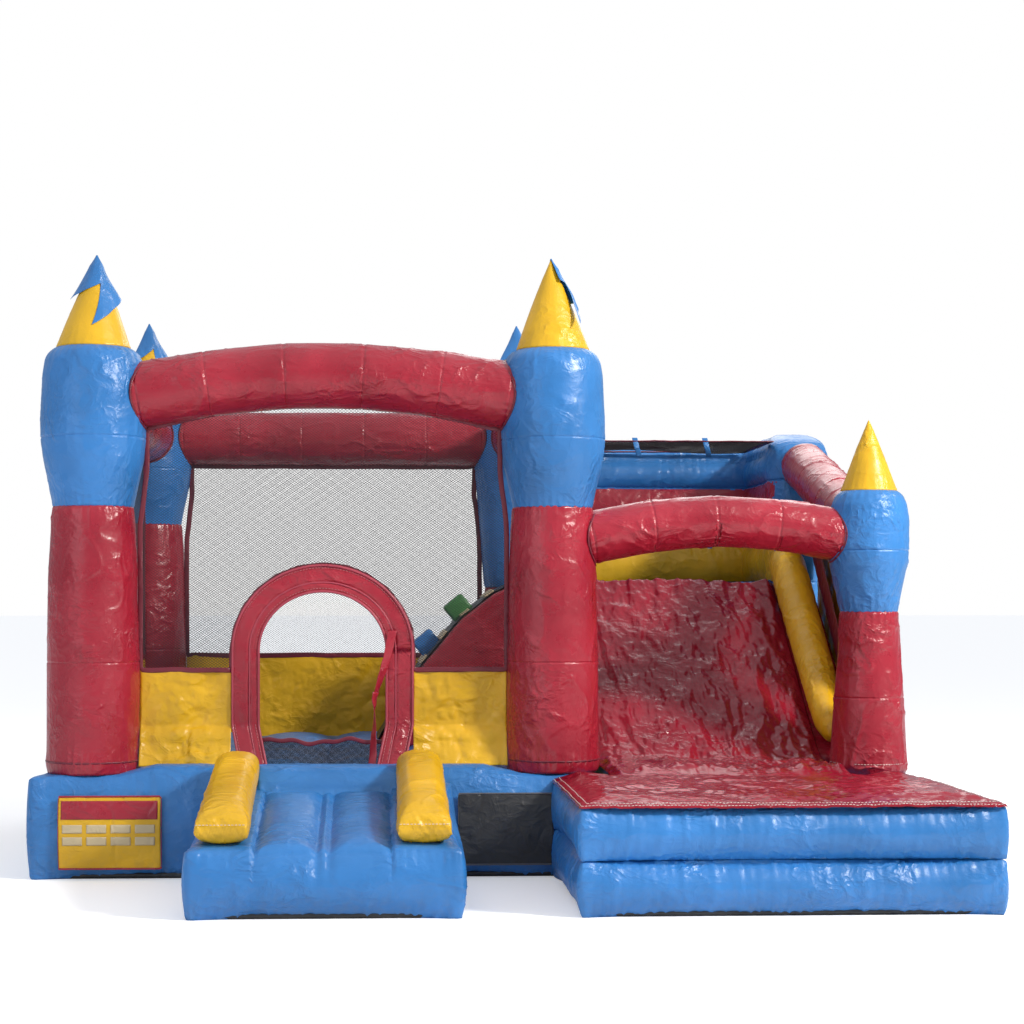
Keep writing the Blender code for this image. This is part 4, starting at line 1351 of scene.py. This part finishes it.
def binding(name, loop, axis, level, width, mat, seed):
    """The folded strip sewn over a net's edge."""
    flat = round_path([*loop, loop[0]])
    tangent = np.gradient(flat, axis=0)
    tangent /= np.maximum(np.linalg.norm(tangent, axis=1, keepdims=True), 1e-9)
    across = np.column_stack([-tangent[:, 1], tangent[:, 0]])
    path, side = np.insert(flat, axis, level, axis=1), np.insert(across, axis, 0.0, axis=1)
    path = path + 0.003 * noise(path * 9, seed)[:, None]
    return put(ribbon(name, path, side, width, 0.010, mat, seed, 0.0015), "red_vinyl")


def panel(name, u, v, axis, level, mat, seed, node=(), fold=None, depth=0.016):
    """A hanging vinyl sheet between two ranges, creased. fold(grid) may lean or bend it."""
    us, vs = np.arange(u[0], u[1] + 0.004, 0.009), np.arange(v[0], v[1] + 0.004, 0.009)
    grid = np.zeros((len(vs), len(us), 3))
    a, b = [k for k in range(3) if k != axis]
    grid[..., a], grid[..., b], grid[..., axis] = us[None], vs[:, None], level
    near = np.minimum(np.minimum(us - us[0], us[-1] - us)[None], (vs[-1] - vs)[:, None])
    ease = 1 - np.exp(-near / 0.05)
    dent = depth * ease * (0.7 * crumple(grid, 0.36, seed, 2) + 0.5 * crumple(grid, 0.12, seed + 11, 3))
    grid[..., axis] += dent
    if fold is not None:
        grid = fold(grid)
    piece = thicken(grid_piece(name, grid, mat))
    put(piece, "yellow_vinyl", *node)
    return piece


def folded_out(grid):
    """The lower part of a front panel leans out over the base."""
    z = grid[..., 2]
    lean = np.clip(0.80 - z, 0, 1)
    grid[..., 1] -= lean * 0.42 + 0.012 * np.sin(np.clip(lean / 0.03, 0, math.pi))
    return grid


def room():
    front, back = middle_of("net_front").y, middle_of("net_back").y
    edges = [tuple((u, v + 0.5 * max(0.0, v - 2.35)) for u, v in pair) for pair in cut_edges("net_front", 1)]
    net(
        "front_net", edges, flat_place(1, front, 0.012, 500), "black_net", ("net_front",),
        thread=0.0019,
    )
    binding("front_net_binding", loop_of(edges), 1, front, 0.028, SHADED_RED, 501)
    edges = cut_edges("net_back", 1)
    net(
        "back_net", edges, flat_place(1, back, 0.012, 502), "black_net", ("net_back",),
        thread=0.0014,
    )
    binding("back_net_binding", loop_of(edges), 1, back, 0.034, SHADED_RED, 503)
    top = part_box("panel_back")[1].z
    for name, node, axis, seed in (("left", "wall_left", 0, 504), ("right", "wall_right", 0, 506)):
        edges = above(cut_edges(node, axis), top)
        low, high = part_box(node)
        x = middle_of(node).x
        net(
            f"{name}_wall_net", edges, flat_place(0, x, 0.012, seed), "black_net", (node,),
        )
        binding(f"{name}_wall_binding", loop_of(edges), 0, x, 0.034, SHADED_RED, seed + 1)
        panel(f"{name}_wall_panel", (low.y, high.y), (low.z - 0.03, top), 0, x, YELLOW, seed + 20)
    low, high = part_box("panel_back")
    panel("back_panel", (low.x, high.x), (low.z - 0.03, top), 1, back, YELLOW, 520, ("panel_back",))
    for side in ("left", "right"):
        low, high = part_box(f"panel_front_{side}")
        panel(
            f"front_{side}_panel", (low.x, high.x), (low.z + 0.035, top), 1, front, YELLOW,
            530 + len(side), (f"panel_front_{side}",), folded_out, depth=0.028,
        )


def door_shape(inset, low):
    """Half-round doorway outline moved in by inset, from foot to foot."""
    box_low, box_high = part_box("door_arch")
    middle, half = (box_low.x + box_high.x) / 2, (box_high.x - box_low.x) / 2 - inset
    spring = 1.21
    rise = box_high.z - spring - inset
    points = [(middle - half, z) for z in np.arange(low, spring, 0.02)]
    for k in range(49):
        angle = math.pi * (1 - k / 48)
        points.append((middle + half * math.cos(angle), spring + rise * math.sin(angle)))
    points += [(middle + half, z) for z in np.arange(spring, low - 0.01, -0.02)]
    return np.array(points)


def bent_foot(points, front):
    """Puts the doorway's outline in space, its feet leaning out over the base and drawn inwards."""
    x, z = points[:, 0], points[:, 1]
    lean = np.clip(0.80 - z, 0, 1)
    middle = middle_of("door_arch").x
    inward = -np.sign(x - middle) * lean * 0.22
    return np.column_stack([x + inward, front - lean * 0.42, z])


def doorway():
    front = middle_of("door_arch").y
    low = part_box("door_arch")[0].z
    outer, inner = door_shape(0.0, low), door_shape(DOOR_BAND, low)
    part = np.linspace(0, 1, 22)
    band = []
    for outside, within in zip(outer, inner):
        for t in part:
            band.append(outside + (within - outside) * t)
    band = np.array(band)
    place = bent_foot(band, front).reshape(len(outer), len(part), 3)
    dent = 0.006 * crumple(place, 0.20, 540, 3) + 0.003 * crumple(place, 0.07, 550, 2)
    seam = 0.007 * np.exp(-(((part - 0.64) / 0.05) ** 2)) - 0.010 * np.sin(np.pi * part) ** 0.5
    place[..., 1] += dent * np.sin(np.pi * part)[None] ** 0.5 + seam[None]
    piece = thicken(grid_piece("door_band", place, RED), 0.003)
    put(piece, "red_vinyl", "door_arch")
    for name, inset, radius in (
        ("outer", 0.002, 0.0075), ("middle", 0.095, 0.005), ("inner", DOOR_BAND, 0.0075)
    ):
        line = bent_foot(door_shape(inset, low), front - 0.006)
        put(cord_piece(f"door_{name}_piping", line, radius, PIPING), "red_vinyl")
    for name, inset in (("outer", 0.016), ("inner", 0.128)):
        line = bent_foot(door_shape(inset, low), front - 0.011)
        put(stitches(f"door_{name}_stitches", line, (0, 0, 1), THREAD_PINK), "red_vinyl")
    strap(front)
    door_mesh()


def strap(front):
    """A loose red tie that hangs inside the doorway's right edge."""
    t = np.linspace(0, 1, 80)
    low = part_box("door_arch")[0].z
    x = np.interp(t, (0, 0.18, 0.5, 0.56, 1), (-0.475, -0.50, -0.575, -0.572, -0.585))
    z = np.interp(t, (0, 1), (1.32, low + 0.03))
    y = front - 0.03 - 0.02 * np.sin(t * 7) - 0.05 * np.clip(t - 0.6, 0, 1)
    path = np.column_stack([x, y, z])
    across = np.column_stack([np.cos(t * 2.6), np.sin(t * 2.6) * 0.7, t * 0])
    piece = ribbon("door_loose_tie", path, across, 0.048, 0.006, RED, 560, 0.004)
    put(piece, "red_vinyl")
    knot = ribbon(
        "door_tie_fold", path[36:46] + np.array([0, -0.012, 0]), across[36:46], 0.062, 0.012, RED, 561,
        0.006,
    )
    put(knot, "red_vinyl")


def door_mesh():
    """The low mesh flap across the doorway, with a wavy binding along its top."""
    low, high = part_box("door_flap")
    y = middle_of("door_flap").y
    u = np.linspace(low.x, high.x, 60)
    wave = lambda x: 0.010 * np.sin((x - low.x) * 16.0) + 0.006 * np.sin((x - low.x) * 41.0)
    top = high.z - 0.018
    corners = [(low.x, low.z + 0.002), (high.x, low.z + 0.002)]
    corners += [(x, top + wave(x)) for x in u[::-1]]
    edges = list(zip(corners, corners[1:] + corners[:1]))
    size = (round(high.x - low.x, 3), round(high.z - low.z, 3))
    net(
        "door_flap_mesh", edges, flat_place(1, y), "black_net", ("door_flap",), body="flap_door",
        wide=0.005, tall=0.0045, thread=0.0009, spacing=0.02,
    )
    path = np.column_stack([u, np.full(60, y), top + wave(u)])
    size = (round(high.x - low.x - 0.01, 3), round(size[1] - 0.02, 3))
    inner = [tuple((u * 0.995 - 0.004, max(v, low.z + 0.022)) for u, v in pair) for pair in edges]
    net(
        "door_flap_lining", inner, flat_place(1, y + 0.0015), "black_net", body="flap_door",
        wide=0.0055, tall=0.005, thread=0.0008, spacing=0.03,
    )
    put(
        ribbon("door_flap_binding", path, (0, 0, 1), 0.024, 0.008, SHADED_RED, 562, 0.001), "black_net",
        body="flap_door",
    )


# ---------------------------------------------------------------- labels, ties, back


def base_front(x, z, proud):
    """The base's bulging front face, a little proud of it."""
    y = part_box("base_chamber")[0].y
    points = np.stack([x, np.zeros(np.shape(x)), z], -1)
    points[..., 1] = y + 0.028 - 0.052 * np.sin(np.pi * np.clip(z / 0.55, 0.02, 0.98)) ** 0.75 - proud
    points[..., 1] += inflated(points, 580, 0.8)
    return points


def patch(name, x0, x1, z0, z1, mat, proud, slot="blue_vinyl"):
    x, z = np.meshgrid(np.arange(x0, x1, PATCH_CELL), np.arange(z0, z1, PATCH_CELL))
    piece = thicken(grid_piece(name, base_front(x, z, proud), mat), 0.0012)
    put(piece, slot)


def patches():
    """Plain patches on the base's front: a notice panel with blank cells and a banner, no lettering."""
    patch("notice_patch", *NOTICE, YELLOW, 0.010)
    patch("notice_heading", -2.235, -1.72, 0.325, 0.43, RED, 0.0125, "red_vinyl")
    for row in range(2):
        for column in range(4):
            left = -2.228 + column * 0.128
            patch(
                f"notice_cell_{row}_{column}", left, left + 0.112, 0.252 - row * 0.065, 0.302 - row * 0.065,
                CREAM, 0.0125, "white_vinyl",
            )
    patch("banner_patch", *BANNER, BLACK, 0.010)
    for name, (x0, x1, z0, z1), trim in (("notice", NOTICE, RED), ("banner", BANNER, WEBBING)):
        flat = round_path([(x0, z0), (x1, z0), (x1, z1), (x0, z1), (x0, z0)], 0.02)
        line = base_front(flat[:, 0], flat[:, 1], 0.013)
        put(ribbon(f"{name}_trim", line, (0, 0, 1), 0.010, 0.003, trim, 582), "red_vinyl")


def roof():
    low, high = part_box("net_roof")
    z = (low.z + high.z) / 2
    edges = [((low.x, low.y), (high.x, low.y)), ((high.x, low.y), (high.x, high.y))]
    edges += [((high.x, high.y), (low.x, high.y)), ((low.x, high.y), (low.x, low.y))]
    net(
        "roof_net", edges, flat_place(2, z, 0.02, 590), "black_net", ("net_roof",),
    )
    binding("roof_net_binding", loop_of(edges), 2, z, 0.045, SHADED_RED, 591)
    for number, x in enumerate((1.09, 1.54)):
        top_end = (x, low.y - 0.012, z + 0.02)
        line = np.array([top_end, (x + 0.01, low.y - 0.02, z - 0.03), (x + 0.03, low.y - 0.015, z - 0.10)])
        put(
            ribbon(f"roof_tie_{number}", line, (1, 0, 0), 0.035, 0.006, BLUE, 592 + number, 0.003),
            "blue_vinyl",
        )


def back_fittings():
    low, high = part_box("inflation_sleeve")
    x, z = (low.x + high.x) / 2, (low.z + high.z) / 2
    t = np.linspace(low.y, high.y, 70)
    angle = np.linspace(0, TAU, 90, endpoint=False)
    grid = np.zeros((70, 90, 3))
    soft = (t - low.y) / (high.y - low.y)
    radius = (high.x - low.x) / 2 - 0.004 + 0.004 * np.sin(soft * 19)
    grid[..., 0] = x + radius[:, None] * np.cos(angle)
    grid[..., 1] = t[:, None]
    grid[..., 2] = z + radius[:, None] * np.sin(angle)
    out = np.stack([np.cos(angle), angle * 0, np.sin(angle)], -1)
    folds = 0.004 * crumple(grid, 0.12, 600, 3) - 0.006 * np.exp(
        -(((soft - 0.72) / 0.06) ** 2)
    )[:, None] * (1 + np.abs(np.sin(angle * 11)))[None]
    grid = grid + out[None] * folds[..., None]
    piece = thicken(grid_piece("blower_sleeve", grid, BLUE, wrap_columns=True), 0.0015)
    put(piece, "blue_vinyl", "inflation_sleeve")
    neck = low.y + 0.72 * (high.y - low.y)
    ring = np.array(
        [(x + 0.126 * math.cos(a), neck, z + 0.126 * math.sin(a)) for a in np.linspace(0, TAU, 50)]
    )
    put(ribbon("blower_sleeve_strap", ring, (0, 1, 0), 0.025, 0.004, WEBBING, 601), "grey_webbing")
    low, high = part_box("deflation_flap")
    us, vs = np.arange(low.x, high.x, 0.008), np.arange(low.z, high.z, 0.008)
    grid = np.zeros((len(vs), len(us), 3))
    grid[..., 0], grid[..., 2] = us[None], vs[:, None]
    grid[..., 1] = high.y + 0.003 + 0.002 * crumple(grid, 0.15, 610, 2)
    piece = thicken(grid_piece("deflation_flap_cloth", grid, BLUE), 0.0015)
    put(piece, "blue_vinyl", "deflation_flap", body="flap_deflation")
    line = round_path([(low.x, high.z), (low.x, low.z), (high.x, low.z), (high.x, high.z)], 0.02)
    line = np.column_stack([line[:, 0], np.full(len(line), high.y + 0.006), line[:, 1]])
    put(
        ribbon("deflation_flap_binding", line, (0, 0, 1), 0.016, 0.004, SHADED_RED, 611), "blue_vinyl",
        body="flap_deflation",
    )


# ---------------------------------------------------------------- stage


def stage():
    bpy.ops.mesh.primitive_plane_add(size=300)
    floor = bpy.context.object
    floor.name = "floor"
    mat = bpy.data.materials.new("floor_look")
    mat.use_nodes = True
    tree = mat.node_tree
    coords = tree.nodes.new("ShaderNodeTexCoord").outputs["Object"]
    spots = noise_node(tree, coords, 3.0, 4.0)
    tree.links.new(
        ramp_mix(tree, spots, (0.90, 0.90, 0.90), (0.93, 0.93, 0.93)), shader_of(mat).inputs["Base Color"]
    )
    shader_of(mat).inputs["Roughness"].default_value = 0.9
    shader_of(mat).inputs["Emission Color"].default_value = (1, 1, 1, 1)
    seen = tree.nodes.new("ShaderNodeLightPath").outputs["Is Camera Ray"]
    tree.links.new(remap(tree, seen, 0.0, 1.0, 0.0, 0.30), shader_of(mat).inputs["Emission Strength"])
    floor.data.materials.append(mat)
    world = bpy.data.worlds.new("studio")
    world.use_nodes = True
    tree = world.node_tree
    seen = tree.nodes["Background"]
    seen.inputs["Color"].default_value = (1, 1, 1, 1)
    lit = tree.nodes.new("ShaderNodeBackground")
    split = tree.nodes.new("ShaderNodeSeparateXYZ")
    tree.links.new(tree.nodes.new("ShaderNodeTexCoord").outputs["Generated"], split.inputs[0])
    height = remap(tree, split.outputs["Z"], -0.1, 0.9, 0.0, 1.0)
    tree.links.new(ramp_mix(tree, height, (0.21, 0.24, 0.28), (0.86, 0.88, 0.92)), lit.inputs["Color"])
    mix = tree.nodes.new("ShaderNodeMixShader")
    tree.links.new(tree.nodes.new("ShaderNodeLightPath").outputs["Is Camera Ray"], mix.inputs[0])
    tree.links.new(lit.outputs[0], mix.inputs[1])
    tree.links.new(seen.outputs[0], mix.inputs[2])
    tree.links.new(mix.outputs[0], tree.nodes["World Output"].inputs["Surface"])
    bpy.context.scene.world = world
    bpy.context.scene.view_settings.view_transform = "Standard"
    for name, place, size, power, colour in (
        ("key", (8.0, -6.5, 7.5), 1.4, 1220, (1.0, 0.95, 0.88)),
        ("fill", (-7.0, -9.0, 4.0), 5.0, 105, (0.92, 0.96, 1.0)),
        ("back", (3.0, 8.0, 7.0), 5.0, 170, (1.0, 0.98, 0.95)),
    ):
        light = bpy.data.lights.new(name, "AREA")
        light.size = size
        light.energy = power
        light.color = colour
        lamp = bpy.data.objects.new(name, light)
        lamp.location = place
        lamp.rotation_euler = (Vector((0, 0, 1.2)) - Vector(place)).to_track_quat("-Z", "Y").to_euler()
        bpy.context.scene.collection.objects.link(lamp)
    lens = bpy.data.cameras.new("camera")
    lens.sensor_width = 36
    lens.lens = 70.3
    lens.shift_x = 0.0524
    lens.shift_y = 0.083
    lens.clip_end = 200
    camera = bpy.data.objects.new("camera", lens)
    camera.location = (-0.5925, -11.857, 1.505)
    camera.rotation_euler = (math.pi / 2, 0, math.radians(-2.5))
    bpy.context.scene.collection.objects.link(camera)
    bpy.context.scene.camera = camera


stage()
for index, corner_name in enumerate(("front_left", "front_right", "back_left", "back_right")):
    main_column(corner_name, 10 + index * 3)
    cap(corner_name, 7)
slide_column(60)
top_tubes()
bases()
step()
tower()
slide_cover()
landing_cover()
slide_bolster()
slide_panel()
climb()
room()
doorway()
patches()
roof()
back_fittings()
